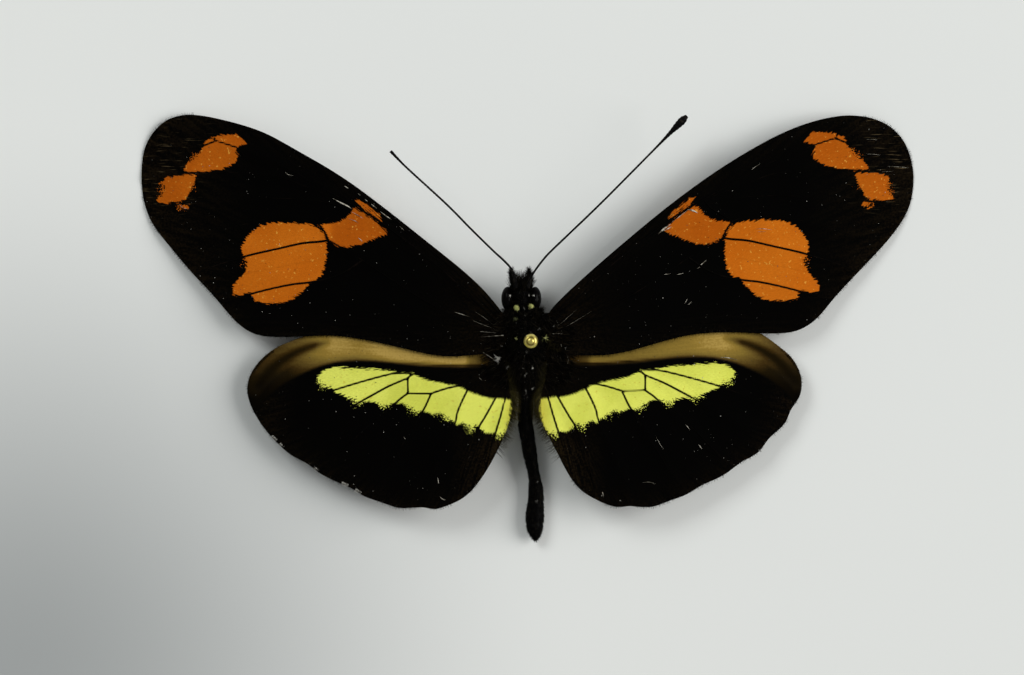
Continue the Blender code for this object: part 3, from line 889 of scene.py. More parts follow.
# %% Lofts
def loft(stations, sides, rings, swell=None):
    """A closed skin over rings (across, along, height, half width, half height), in millimetres."""
    count = max(2, rings // (len(stations) - 1))
    smooth = smooth_route([Vector(station) for station in stations], count)
    bm = bmesh.new()
    bmesh.ops.create_circle(bm, segments=sides, radius=1.0)
    edges = list(bm.edges)
    ring = list(bm.verts)
    upright = Matrix(((-1, 0, 0, 0), (0, 0, 1, 0), (0, 1, 0, 0), (0, 0, 0, 1)))
    for i, (x, y, z, wide, high) in enumerate(smooth):
        if i:
            grown = bmesh.ops.extrude_edge_only(bm, edges=edges)["geom"]
            ring = [g for g in grown if isinstance(g, bmesh.types.BMVert)]
            edges = [g for g in grown if isinstance(g, bmesh.types.BMEdge) and g.is_boundary]
            bmesh.ops.transform(bm, matrix=previous.inverted(), verts=ring)
        more = swell(y) if swell else 1.0
        size = Matrix.Diagonal((max(wide, 0.03) * more, max(high, 0.03) * more, 1, 1))
        previous = Matrix.Translation((x, y, z)) @ upright @ size
        bmesh.ops.transform(bm, matrix=previous, verts=ring)
    bmesh.ops.holes_fill(bm, edges=bm.edges, sides=0)
    bmesh.ops.recalc_face_normals(bm, faces=bm.faces)
    bmesh.ops.scale(bm, vec=(MM, MM, MM), verts=bm.verts)
    return bm


def fit_to(bm, node_name):
    """Moves and scales a bmesh so that its box is the box of a CAD node."""
    low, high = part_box(node_name)
    spots = np.array([v.co for v in bm.verts])
    own_low, own_high = Vector(spots.min(axis=0)), Vector(spots.max(axis=0))
    scale = [(high[i] - low[i]) / (own_high[i] - own_low[i]) for i in range(3)]
    bmesh.ops.translate(bm, vec=-(own_low + own_high) / 2, verts=bm.verts)
    bmesh.ops.scale(bm, vec=scale, verts=bm.verts)
    bmesh.ops.translate(bm, vec=(low + high) / 2, verts=bm.verts)


def body_piece(name, bm, finish):
    """A finished piece of the body that stands for the CAD node of the same name."""
    fit_to(bm, name)
    return finish_piece(new_object(f"{name}_skin", bm), finish, name)


skin_finish, tree, shader = material("body_skin", (0.001, 0.0009, 0.001), 0.5, specular=0.03)
where = object_space(tree)
grain = ramp(tree, noise(tree, where, 1500.0, 4.0), 0.45, 0.75)
paint(tree, shader, grain, (0.0007, 0.0006, 0.0007), (0.004, 0.0035, 0.0028))
bump(tree, shader, noise(tree, where, 4200.0, 3.0), 0.03 * MM, 0.6)

THORAX = [
    (-0.4, 2.72, 3.35, 0.5, 0.55), (-0.4, 2.4, 3.35, 1.05, 1.0), (-0.35, 2.0, 3.35, 1.3, 1.35),
    (-0.3, 1.3, 3.35, 1.55, 1.7), (-0.25, 0.3, 3.35, 1.68, 1.9), (-0.2, -0.8, 3.35, 1.7, 1.95),
    (-0.2, -2.0, 3.3, 1.5, 1.75), (-0.18, -3.1, 3.25, 1.25, 1.45), (-0.15, -3.9, 3.2, 0.95, 1.1),
    (-0.15, -4.3, 3.2, 0.6, 0.7),
]
ABDOMEN = [
    (-0.4, -4.4, 3.2, 0.55, 0.65), (-0.4, -4.8, 3.15, 0.75, 0.85), (-0.47, -6.0, 3.0, 0.75, 0.9),
    (-0.53, -8.0, 2.62, 0.72, 0.85), (-0.25, -10.0, 2.15, 0.71, 0.8), (0.07, -12.0, 1.65, 0.64, 0.72),
    (0.29, -13.1, 1.4, 0.56, 0.68), (0.49, -14.2, 1.18, 0.67, 0.72), (0.55, -15.6, 0.98, 0.76, 0.78),
    (0.45, -17.0, 0.86, 0.87, 0.86), (0.42, -18.2, 0.86, 0.88, 0.86), (0.45, -19.1, 0.9, 0.68, 0.68),
    (0.5, -19.7, 0.92, 0.36, 0.36), (0.52, -20.0, 0.93, 0.1, 0.1),
]
HEAD = [
    (-0.92, 2.85, 3.45, 0.5, 0.55), (-0.92, 3.15, 3.45, 0.95, 0.9), (-0.92, 3.7, 3.5, 1.15, 1.1),
    (-0.92, 4.4, 3.55, 1.2, 1.15), (-0.92, 5.0, 3.5, 1.1, 1.05), (-0.92, 5.45, 3.4, 0.8, 0.8),
    (-0.92, 5.7, 3.35, 0.45, 0.5),
]
ABDOMEN_RINGS = (-6.2, -8.1, -10.0, -12.0, -14.0, -16.05, -18.25)
RING_DEPTH = 0.09
RING_WIDTH = 0.16


def ringed(y):
    """The abdomen narrows at each joint between two rings."""
    return 1 - RING_DEPTH * sum(peak(y - ring, RING_WIDTH) for ring in ABDOMEN_RINGS)


thorax = body_piece("thorax", loft(THORAX, 36, 60), skin_finish)
abdomen = body_piece("abdomen", loft(ABDOMEN, 32, 200, ringed), skin_finish)
head = body_piece("head", loft(HEAD, 36, 40), skin_finish)
for made in (thorax, abdomen, head):
    print(made.name, "faces:", len(made.data.polygons))

# %% [markdown]
# ## Eyes
# A compound eye is a smooth dome of thousands of facets. The facets are far finer than the rest of
# the model, so they are a cell pattern in the bump, under a clear coat for the wet-looking gloss.

# %% Eyes
eye_finish, tree, shader = material("eye", (0.001, 0.0008, 0.0009), 0.3, specular=0.02)
where = object_space(tree)
paint(tree, shader, noise(tree, where, 700.0), (0.0006, 0.0005, 0.0007), (0.002, 0.0014, 0.0014))
shader.inputs["Coat Weight"].default_value = 0.05
shader.inputs["Coat Roughness"].default_value = 0.06
facets = node(tree, "ShaderNodeTexVoronoi", feature="F1", scale=26000.0)
tree.links.new(where, facets.inputs["Vector"])
bump(tree, shader, facets.outputs["Distance"], 0.01 * MM, 0.25)


def sphere(segments, rings):
    bm = bmesh.new()
    bmesh.ops.create_uvsphere(bm, u_segments=segments, v_segments=rings, radius=MM)
    return bm


eyes = []
for hand in ("right", "left"):
    eyes.append(body_piece(f"eye_{hand}", sphere(48, 32), eye_finish))
    print(eyes[-1].name, "faces:", len(eyes[-1].data.polygons))

# %% [markdown]
# ## Pin
# The pin is drawn steel wire with a small turned brass ball. The ball has a faint turned groove
# around its top, coloured dark as a painted reflection, so that it shows as a ring.

# %% Pin
steel, tree, shader = material("steel", (0.45, 0.45, 0.46), 0.28, metallic=1.0)
draw = noise(tree, object_space(tree), 900.0, 3.0, (12.0, 12.0, 0.6))
paint(tree, shader, draw, (0.30, 0.30, 0.31), (0.56, 0.56, 0.57))
bump(tree, shader, draw, 0.01 * MM, 0.2)
brass, tree, shader = material("brass", (0.5, 0.4, 0.1), 0.35, metallic=0.85)
tarnish = noise(tree, object_space(tree), 1600.0, 4.0)
tone = blend_colours(tree, ramp(tree, tarnish, 0.3, 0.7), (0.66, 0.54, 0.13), (0.86, 0.74, 0.22))
# painted reflection: the groove is coloured dark, as the ball's top reflects a dark ring
paint(tree, shader, attribute(tree, "groove"), tone, (0.16, 0.11, 0.012))
tree.links.new(maths(tree, "MULTIPLY_ADD", tarnish, 0.2, 0.22), shader.inputs["Roughness"])
bump(tree, shader, tarnish, 0.01 * MM, 0.3)

GROOVE_PLACE = 0.56  # of the ball's radius, out from its axis
GROOVE_DEPTH = 0.06
GROOVE_WIDTH = 0.13
bm = sphere(64, 64)
groove = []
for vert in bm.verts:
    out = math.hypot(vert.co.x, vert.co.y) / MM
    groove.append(float(peak(out - GROOVE_PLACE, GROOVE_WIDTH)) if vert.co.z > 0 else 0.0)
    vert.co *= 1 - GROOVE_DEPTH * groove[-1]
ball = body_piece("pin_head", bm, brass)
keep_fact(ball.data, "groove", groove)
low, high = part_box("pin_shank")
bm = bmesh.new()
bmesh.ops.create_cone(bm, cap_ends=True, segments=48, radius1=MM, radius2=MM, depth=MM)
rims = [e for e in bm.edges if abs(e.verts[0].co.z - e.verts[1].co.z) < MM / 10]
breadth, depth, height = ((b - a) / MM for a, b in zip(low, high))
bmesh.ops.scale(bm, vec=(breadth / 2, depth / 2, height), verts=bm.verts)
bmesh.ops.bevel(bm, geom=rims, offset=0.05 * MM, affect="EDGES", segments=3, profile=0.5, material=-1)
shank = body_piece("pin_shank", bm, steel)
shank.data.set_sharp_from_angle(angle=math.radians(40))
print("pin height mm:", round(height, 2))

# %% [markdown]
# ## Antennae, legs and tongue
# An antenna is a chain of some sixty short joints, so its radius swells and narrows along the
# route. The right one ends in its club. The left one has lost it.

# %% Antennae
ANTENNAE = {
    "antenna_right": [
        (-0.05, 5.3, 4.55, 0.16), (0.08, 5.75, 4.6, 0.12), (0.35, 6.45, 4.68, 0.08), (0.83, 7.2, 4.76, 0.07),
        (1.52, 8.1, 4.85, 0.07), (2.2, 8.85, 4.92, 0.07), (4.1, 10.67, 5.1, 0.07), (7.05, 13.5, 5.3, 0.07),
        (10.1, 16.56, 5.4, 0.07), (12.8, 19.3, 5.4, 0.075), (14.1, 20.65, 5.35, 0.14),
        (14.8, 21.37, 5.3, 0.23), (15.35, 21.93, 5.25, 0.26), (15.75, 22.33, 5.2, 0.12),
    ],
    "antenna_left": [
        (-1.2, 5.3, 4.55, 0.16), (-1.25, 5.75, 4.6, 0.12), (-1.4, 6.5, 4.68, 0.085),
        (-1.72, 7.24, 4.76, 0.075), (-2.52, 8.1, 4.85, 0.075), (-3.4, 8.9, 4.92, 0.07),
        (-5.7, 11.15, 5.05, 0.07), (-8.07, 13.55, 5.15, 0.07), (-11.78, 16.95, 5.25, 0.07),
        (-12.8, 17.95, 5.25, 0.08), (-13.65, 18.85, 5.22, 0.11),
    ],
}
JOINT_LENGTH = 0.38
JOINT_SWELL = 0.12
STEPS_PER_JOINT = 5
THICKEN = 1.45  # the joints' short hair makes an antenna look thicker

horn, tree, shader = material("horn", (0.0015, 0.0013, 0.0013), 0.5, specular=0.05)
scurf = ramp(tree, noise(tree, object_space(tree), 2600.0, 3.0), 0.52, 0.72)
paint(tree, shader, scurf, (0.0012, 0.001, 0.001), (0.020, 0.016, 0.012))
bump(tree, shader, scurf, 0.01 * MM, 0.4)


def jointed(route, thicken=1.0):
    """A route given with radii, resampled evenly so that every joint swells in its middle."""
    smooth = smooth_route([Vector(p) for p in route], 10)
    lengths = [0.0]
    for a, b in zip(smooth[:-1], smooth[1:]):
        lengths.append(lengths[-1] + (b - a).xyz.length)
    total = lengths[-1]
    count = int(total / JOINT_LENGTH * STEPS_PER_JOINT)
    strand = []
    for i in range(count + 1):
        at = total * i / count
        x, y, z, radius = (np.interp(at, lengths, [p[k] for p in smooth]) for k in range(4))
        swell = 1 + JOINT_SWELL * (abs(math.sin(math.pi * at / JOINT_LENGTH)) - 0.6)
        strand.append((Vector((x + MIDLINE, y, z)) * MM, radius * swell * thicken))
    return strand


def horny(name, title, strand):
    """One horny thread that stands for the CAD node of that name."""
    return threads(title, [strand], horn, resolution=3, replaced=name)


for name, route in ANTENNAE.items():
    made = horny(name, f"{name}_joints", jointed(route, THICKEN))
    print(made.name, "faces:", len(made.data.polygons))

# %% Legs and tongue
LEGS_MIDDLE = -0.2
LEG_ROUTES = {
    "foreleg": [
        (0.55, 2.0, 1.75, 0.14), (0.75, 2.5, 1.6, 0.13), (0.85, 3.2, 1.75, 0.09), (0.75, 3.8, 1.95, 0.06),
    ],
    "midleg": [
        (1.05, 0.6, 1.3, 0.17), (1.5, 0.9, 1.15, 0.18), (2.1, 1.5, 1.05, 0.15), (2.5, 2.0, 1.0, 0.12),
        (2.35, 1.3, 0.75, 0.1), (2.05, 0.2, 0.5, 0.09), (1.8, -0.9, 0.35, 0.08), (1.65, -2.0, 0.22, 0.06),
        (1.6, -2.9, 0.16, 0.05),
    ],
    "hindleg": [
        (0.95, -1.9, 1.3, 0.17), (1.4, -2.3, 1.15, 0.18), (2.1, -3.1, 1.1, 0.14), (2.7, -3.9, 1.1, 0.11),
        (2.65, -4.6, 0.95, 0.1), (2.6, -5.6, 0.7, 0.09), (2.6, -6.7, 0.5, 0.08), (2.65, -7.6, 0.35, 0.06),
        (2.75, -8.3, 0.3, 0.05),
    ],
}
legs = []
for leg, route in LEG_ROUTES.items():
    for hand, side in (("right", 1), ("left", -1)):
        placed = [(LEGS_MIDDLE + side * across, *rest) for across, *rest in route]
        legs.append(horny(f"{leg}_{hand}", f"{leg}_{hand}_joints", jointed(placed)))

TONGUE_CENTRE = (-0.67, 5.25, 1.4)
TONGUE_OUTER = 0.7
TONGUE_INNER = 0.25
TONGUE_START = 1.75
TONGUE_TURNS = 1.9
TONGUE_RADIUS = 0.1
TONGUE_POINTS = 90
strand = []
for i in range(TONGUE_POINTS):
    share = i / (TONGUE_POINTS - 1)
    angle = TONGUE_START - math.tau * TONGUE_TURNS * share
    radius = TONGUE_OUTER + (TONGUE_INNER - TONGUE_OUTER) * share
    x, y, z = TONGUE_CENTRE
    spot = Vector((x + MIDLINE, y + radius * math.cos(angle), z + radius * math.sin(angle))) * MM
    strand.append((spot, TONGUE_RADIUS * (1 - 0.3 * share) * (1 + 0.06 * (i % 2))))
tongue = horny("proboscis", "proboscis_coil", strand)
print("legs:", len(legs), "tongue faces:", len(tongue.data.polygons))

# %% Palps
PALPS = {
    "palp_right": [
        (-0.19, 5.7, 2.95, 0.2, 0.2), (-0.15, 6.05, 3.15, 0.27, 0.27), (-0.15, 6.5, 3.4, 0.22, 0.22),
        (-0.17, 6.85, 3.6, 0.13, 0.13), (-0.17, 7.15, 3.7, 0.05, 0.05),
    ],
    "palp_left": [
        (-1.61, 5.7, 2.95, 0.2, 0.2), (-1.67, 6.05, 3.15, 0.27, 0.27), (-1.8, 6.5, 3.4, 0.22, 0.22),
        (-1.91, 6.85, 3.6, 0.13, 0.13), (-1.95, 7.15, 3.7, 0.05, 0.05),
    ],
}
palps = []
for name, stations in PALPS.items():
    palps.append(body_piece(name, loft(stations, 20, 28), skin_finish))
print("palps:", [p.name for p in palps])

# %% [markdown]
# ## Hair and scales
# The fur is real geometry. Points are strewn over a surface, each with an aim, a size and a tint.
# Geometry Nodes puts one small closed hair on every point and makes the copies real, and the result
# is kept as a plain mesh. The same helper later plants the fringes and the loose scales.


# %% Strewing and planting
def scatter(obj, count, rng):
    """Random points on a mesh, and the outward direction at each, in millimetres."""
    mesh = obj.data
    mesh.calc_loop_triangles()
    corners = np.empty(len(mesh.loop_triangles) * 3, dtype=np.int32)
    mesh.loop_triangles.foreach_get("vertices", corners)
    a, b, c = coordinates(mesh)[corners.reshape(-1, 3)].transpose(1, 0, 2)
    cross = np.cross(b - a, c - a)
    area = np.linalg.norm(cross, axis=1)
    pick = rng.choice(len(area), count, p=area / area.sum())
    u, v = rng.random((2, count))
    u, v = np.where(u + v > 1, 1 - u, u), np.where(u + v > 1, 1 - v, v)
    spots = a[pick] + u[:, None] * (b - a)[pick] + v[:, None] * (c - a)[pick]
    return spots, cross[pick] / area[pick, None]


def hair_shape(bend):
    """One hair of length 1 and radius 1: a three-sided closed cone, bent sideways."""
    bm = bmesh.new()
    bmesh.ops.create_cone(bm, cap_ends=True, cap_tris=True, segments=3, radius1=1.0, radius2=0.15, depth=1.0)
    bmesh.ops.translate(bm, vec=(0, 0, 0.5), verts=bm.verts)
    geometry = list(bm.verts) + list(bm.edges) + list(bm.faces)
    bmesh.ops.bisect_plane(bm, geom=geometry, plane_co=(0, 0, 0.55), plane_no=(0, 0, 1))
    for vert in bm.verts:
        vert.co.x += bend * vert.co.z**2
    return new_object("hair_shape", bm)


def flake_shape():
    """One scale of length 1 and half width 1: a thin closed six-sided plate."""
    bm = bmesh.new()
    bmesh.ops.create_cone(bm, cap_ends=True, segments=6, radius1=1.0, radius2=1.0, depth=0.12)
    bmesh.ops.rotate(bm, cent=(0, 0, 0), matrix=Matrix.Rotation(math.pi / 2, 3, "X"), verts=bm.verts)
    bmesh.ops.scale(bm, vec=(1, 1, 0.5), verts=bm.verts)
    bmesh.ops.translate(bm, vec=(0, 0, 0.5), verts=bm.verts)
    return new_object("flake_shape", bm)


def planting_nodes(shape):
    """Geometry Nodes: one shape on each point, turned to its aim, scaled, and made real."""
    sockets = (("Points", "INPUT", "Geometry"), ("Plants", "OUTPUT", "Geometry"))
    tree, start, end = new_group("planting", "GeometryNodeTree", sockets)

    def stored(name, kind):
        made = node(tree, "GeometryNodeInputNamedAttribute", data_type=kind)
        made.inputs["Name"].default_value = name
        return made.outputs["Attribute"]

    seed = tree.nodes.new("GeometryNodeObjectInfo")
    seed.inputs["Object"].default_value = shape
    spin = tree.nodes.new("FunctionNodeAxisAngleToRotation")
    spin.inputs["Axis"].default_value = (0, 0, 1)
    tree.links.new(stored("spin", "FLOAT"), spin.inputs["Angle"])
    turn = node(tree, "FunctionNodeAlignRotationToVector", axis="Z")
    tree.links.new(spin.outputs["Rotation"], turn.inputs["Rotation"])
    tree.links.new(stored("aim", "FLOAT_VECTOR"), turn.inputs["Vector"])
    copies = tree.nodes.new("GeometryNodeInstanceOnPoints")
    tree.links.new(start.outputs[0], copies.inputs["Points"])
    tree.links.new(seed.outputs["Geometry"], copies.inputs["Instance"])
    tree.links.new(turn.outputs["Rotation"], copies.inputs["Rotation"])
    tree.links.new(stored("size", "FLOAT_VECTOR"), copies.inputs["Scale"])
    real = tree.nodes.new("GeometryNodeRealizeInstances")
    tree.links.new(copies.outputs["Instances"], real.inputs["Geometry"])
    tree.links.new(real.outputs["Geometry"], end.inputs[0])
    return tree


CLEARANCE = 0.08  # nothing that is planted may come nearer to the floor


def hair_sizes(widths, lengths):
    """The sizes of round hairs; widths is one number or one for each hair."""
    return np.column_stack((np.broadcast_to(widths, lengths.shape),) * 2 + (lengths,))


def plant(name, spots, aims, sizes, tints, finish, bend=4.0, flakes=False):
    """Plants hairs or flakes; spots and sizes (half width, half thickness, length) in millimetres."""
    rng = np.random.default_rng(len(spots))
    shape = flake_shape() if flakes else hair_shape(bend)
    spots, sizes, tints = np.asarray(spots), np.asarray(sizes), np.asarray(tints)
    aims = np.asarray(aims) / np.linalg.norm(aims, axis=1)[:, None]
    clear = spots[:, 2] + aims[:, 2] * sizes[:, 2] > CLEARANCE
    spots, aims, sizes, tints = spots[clear], aims[clear], sizes[clear], tints[clear]
    mesh = bpy.data.meshes.new(name)
    mesh.vertices.add(len(spots))
    mesh.vertices.foreach_set("co", (spots * MM).ravel().astype(np.float32))
    spins = rng.random(len(spots)) * math.tau
    for key, values in (("aim", aims), ("size", sizes * MM)):
        data = mesh.attributes.new(key, "FLOAT_VECTOR", "POINT").data
        data.foreach_set("vector", values.ravel().astype(np.float32))
    keep_fact(mesh, "spin", spins)
    keep_fact(mesh, "tint", tints)
    made = link_object(name, mesh)
    made.modifiers.new("planting", "NODES").node_group = planting_nodes(shape)
    made = as_mesh(made)
    for key in ("aim", "size", "spin"):
        made.data.attributes.remove(made.data.attributes[key])
    bpy.data.objects.remove(shape)
    finish_piece(made, finish)
    print(name, "pieces:", len(spots), "faces:", len(made.data.polygons))


def hair_finish(name, dark, light, specular=0.1):
    """Hair whose tint runs from its dark to its light colour, mottled a little."""
    made, tree, shader = material(name, dark, 0.6, specular=specular)
    grain = ramp(tree, noise(tree, object_space(tree), 2500.0), 0.3, 0.7)
    share = maths(tree, "MULTIPLY", attribute(tree, "tint"), maths(tree, "MULTIPLY_ADD", grain, 0.5, 0.6))
    paint(tree, shader, share, dark, light)
    return made


black_hair = hair_finish("black_hair", (0.0007, 0.0006, 0.0007), (0.055, 0.046, 0.03), specular=0.016)
olive_hair = hair_finish("olive_hair", (0.004, 0.0032, 0.001), (0.105, 0.085, 0.024), specular=0.05)
pale_hair = hair_finish("pale_hair", (0.05, 0.06, 0.03), (0.93, 0.95, 0.36))
# loose scales and dust; the same finish makes the painted highlights on the head
dust_and_highlight_finish = hair_finish("loose_scale", (0.03, 0.026, 0.02), (0.75, 0.73, 0.66), specular=0.3)


def fur(
    name, surface, count, lengths, comb, stand, seed,
    radius=0.022, tint_power=7.0, pick=None, finish=black_hair,
):
    """Fur over a surface: comb is the way it lies, stand how far it stands off the skin."""
    rng = np.random.default_rng(seed)
    spots, normals = scatter(surface, count, rng)
    if pick is not None:
        kept = pick(spots, normals)
        spots, normals = spots[kept], normals[kept]
    aims = normals * stand + np.asarray(comb) + rng.normal(0, 0.28, spots.shape)
    sizes = hair_sizes(radius, rng.uniform(*lengths, len(spots)))
    tints = rng.random(len(spots)) ** tint_power
    plant(name, spots, aims, sizes, tints, finish)


# %% Fur of the body
fur("thorax_fur", thorax, 9000, (0.35, 0.85), (0, -0.55, 0.0), 0.8, seed=11)
fur("waist_fur", thorax, 14000, (0.8, 1.4), (0, -1.3, 0.0), 0.4, seed=15,
    pick=lambda p, n: (p[:, 1] < -2.4) & (n[:, 2] > -0.4))
fur("flank_fur", thorax, 26000, (0.9, 1.5), (0, -1.3, 0.0), 0.45, seed=16, tint_power=4.0, finish=olive_hair,
    pick=lambda p, n: (p[:, 1] < -2.2) & (abs(n[:, 0]) > 0.8) & (n[:, 2] > -0.5))
fur("head_fur", head, 2600, (0.2, 0.5), (0, 0.15, 0.1), 0.9, seed=12)
fur("brow_tuft", head, 3200, (0.6, 1.45), (0, 1.3, 0.1), 0.35, seed=13, pick=lambda p, n: p[:, 1] > 4.9)
fur("abdomen_fur", abdomen, 8000, (0.12, 0.26), (0, -1.0, 0.0), 0.3, seed=14, radius=0.018, tint_power=9.0)
for i, palp in enumerate(palps):
    title = palp.name.replace("_skin", "_fur")
    fur(title, palp, 900, (0.2, 0.5), (0, 0.9, 0.1), 0.7, seed=20 + i, radius=0.018)
for i, leg in enumerate(legs):
    title = leg.name.replace("_joints", "_fur")
    fur(title, leg, 160, (0.08, 0.2), (0, -0.3, -0.3), 0.8, seed=30 + i, radius=0.012)

# %% [markdown]
# At each forewing's root sits a tegula, a small scaly shoulder plate, and two collar plates fill the
# neck. Longer fur covers the joints and the hindwings' inner edges. It is set on the wing membranes
# themselves, but only where a test on the place says so.

# %% Shoulders and wing roots
# each plate: its half sizes, its centre, its turn, and how its fur is combed
PLATES = {
    "tegula_right": ((0.72, 1.0, 0.5), (1.52, 1.85, 4.05), -0.45, (0.5, -0.75, 0.0)),
    "tegula_left": ((0.72, 1.0, 0.5), (-1.92, 1.85, 4.05), 0.45, (-0.5, -0.75, 0.0)),
    "collar_right": ((0.62, 0.55, 0.7), (0.4, 2.75, 3.6), 0.0, (0.1, -0.3, 0.0)),
    "collar_left": ((0.85, 0.6, 0.7), (-1.75, 2.7, 3.6), 0.0, (-0.1, -0.3, 0.0)),
}
shoulders = []
for i, (name, (half, place, turn, comb)) in enumerate(PLATES.items()):
    bm = sphere(28, 18)
    bmesh.ops.scale(bm, vec=half, verts=bm.verts)
    bmesh.ops.rotate(bm, cent=(0, 0, 0), matrix=Matrix.Rotation(turn, 3, "Z"), verts=bm.verts)
    bmesh.ops.translate(bm, vec=Vector(place) * MM, verts=bm.verts)
    plate = finish_piece(new_object(name, bm), skin_finish)
    shoulders.append(plate)
    fur(f"{name}_fur", plate, 1500, (0.35, 0.8), comb, 0.5, seed=40 + i)


ROOT_FUR_REACH = 2.6
INNER_HAIR_REACH = (0.6, 1.15)


def root_fur(wing, seed):
    """Long fur lying outward over one wing's root, on its upper side."""

    def near_root(spots, normals):
        from_hinge = wing.plan(spots) - np.array(HINGE_POINT[wing.kind])
        return (normals[:, 2] > 0) & (np.hypot(*from_hinge.T) < ROOT_FUR_REACH)

    comb = (wing.side * 0.9, -0.25 if wing.kind == "forewing" else -0.6, 0.05)
    fur(f"{wing.name}_root_fur", membranes[wing.name], 42000, (0.5, 1.0), comb, 0.3, seed,
        tint_power=10.0, pick=near_root)


def inner_fringe(wing, seed):
    """Olive-brown hair along the edge of a hindwing that lies against the abdomen."""
    rng = np.random.default_rng(seed)
    spots, normals = scatter(membranes[wing.name], 260000, rng)
    places = wing.plan(spots)
    x, y = places.T
    thin = rng.random(len(spots)) < np.interp(-y, (6.6, 7.6, 11.0), (1.0, 0.3, 0.05))
    spots = spots[(x < 3.2) & (y < -2.0) & (to_margin(places, outlines[wing.name]) < 0.3) & thin]
    aims = np.array((-wing.side * 0.8, -0.65, -0.08)) + rng.normal(0, 0.22, spots.shape)
    sizes = hair_sizes(0.02, rng.uniform(*INNER_HAIR_REACH, len(spots)))
    tints = rng.random(len(spots)) ** 1.5 * np.interp(-spots[:, 1], (3.0, 5.5, 9.0), (0.15, 0.85, 0.6))
    plant(f"{wing.name}_inner_hair", spots, aims, sizes, tints, olive_hair, bend=8.0)


for i, wing in enumerate(WINGS):
    root_fur(wing, 50 + i)
    if wing.kind == "hindwing":
        inner_fringe(wing, 60 + i)

# %% [markdown]
# ## Fringes
# The wing's edge carries a fringe of long narrow scales, everywhere but along the stiff front edge.
# They start just inside the margin and stand a little past it.

# %% Fringes
FRINGE_STEP = 0.055
FRINGE_ROOT = 0.25  # how far inside the margin a fringe scale starts
FRINGE_AIM = 0.2  # its direction is taken this far past the margin
FRINGE_LENGTHS = (0.2, 0.38)
# places along the left hindwing where the fringe is white, and how far that reaches
WHITE_FRINGE = {
    "hindwing_left": [
        (25.5, -9.8), (24.55, -10.5), (22.1, -12.2), (21.2, -12.8), (18.3, -14.4), (17.0, -15.1),
    ],
}
WHITE_REACH = 0.35
WHITE_LIFT = 0.05
# the fringe grows farther out than the first number and behind the second
FRINGED = {
    "forewing": [(3.2, 3.0), (24.0, 12.0), (33.5, math.inf)],
    "hindwing": [(3.2, 0.3), (22.0, math.inf)],
}


def fringe(wing, seed):
    """The fringe scales of one wing, rooted inside its margin."""
    rng = np.random.default_rng(seed)
    ring = outlines[wing.name]
    turning = sum(a.x * b.y - a.y * b.x for a, b in zip(ring, ring[1:] + ring[:1]))
    spots, aims, white = [], [], []
    for a, b in zip(ring, ring[1:] + ring[:1]):
        run = (b - a).xy
        outward = Vector((run.y, -run.x)).normalized() * (1 if turning > 0 else -1)
        steps = max(1, round(run.length / FRINGE_STEP))
        for i in range(steps):
            spot = a.xy + run * (i + rng.random()) / steps
            if not any(spot.x > out and spot.y < front for out, front in FRINGED[wing.kind]):
                continue
            rooted = spot - outward * FRINGE_ROOT
            aim = outward + Vector(rng.normal(0, 0.16, 2))
            spots.append(wing.place(rooted.x, rooted.y, rng.normal(0, 0.012)) / MM)
            tip = spot + aim.normalized() * FRINGE_AIM
            aims.append(wing.place(tip.x, tip.y) / MM - wing.place(rooted.x, rooted.y) / MM)
            bare = WHITE_FRINGE.get(wing.name, ())
            white.append(any((spot - Vector(place)).length < WHITE_REACH for place in bare))
    count = len(spots)
    width = rng.uniform(0.03, 0.05, count)
    sizes = np.column_stack((width, np.full(count, 0.014), rng.uniform(*FRINGE_LENGTHS, count)))
    spots, aims, white = np.array(spots), np.array(aims), np.array(white)
    tints = rng.random(count) ** 5 * 0.4
    from_vein = nearest_route(wing.plan(spots), VEIN_ROUTES[wing.kind], wing)
    sizes[:, 2] *= np.interp(from_vein, (0.2, 1.0), (0.75, 1.4))  # longest between two veins
    spots[white, 2] += WHITE_LIFT

    def plant_fringe(name, part, tints, finish):
        plant(name, spots[part], aims[part], sizes[part], tints, finish, bend=1.0)

    plant_fringe(f"{wing.name}_fringe", ~white, tints[~white], black_hair)
    if white.any():
        bright = rng.uniform(0.3, 1.0, white.sum())
        plant_fringe(f"{wing.name}_white_fringe", white, bright, dust_and_highlight_finish)


for i, wing in enumerate(WINGS):
    fringe(wing, 70 + i)

# %% [markdown]
# ## Age
# A dried specimen is never perfect. Scales rub off along the folds, pale bristles stick up at the
# wing roots, and loose scales and dust lie everywhere. The strokes are thin threads laid on the
# membranes, and the specks are planted flakes. The pale strokes are partly rubbed scales and partly
# painted highlights where the bare membrane and the bristles catch the light.

# %% Rubbed strokes
# pale rubbed scales, partly painted highlight where the bare membrane catches the light
rubbed_and_highlight_finish, tree, shader = material("rubbed", (0.30, 0.27, 0.22), 0.5, specular=0.4)
grain = ramp(tree, noise(tree, object_space(tree), 3000.0, 3.0), 0.38, 0.62)
paint(tree, shader, grain, (0.10, 0.085, 0.06), (0.60, 0.56, 0.47))

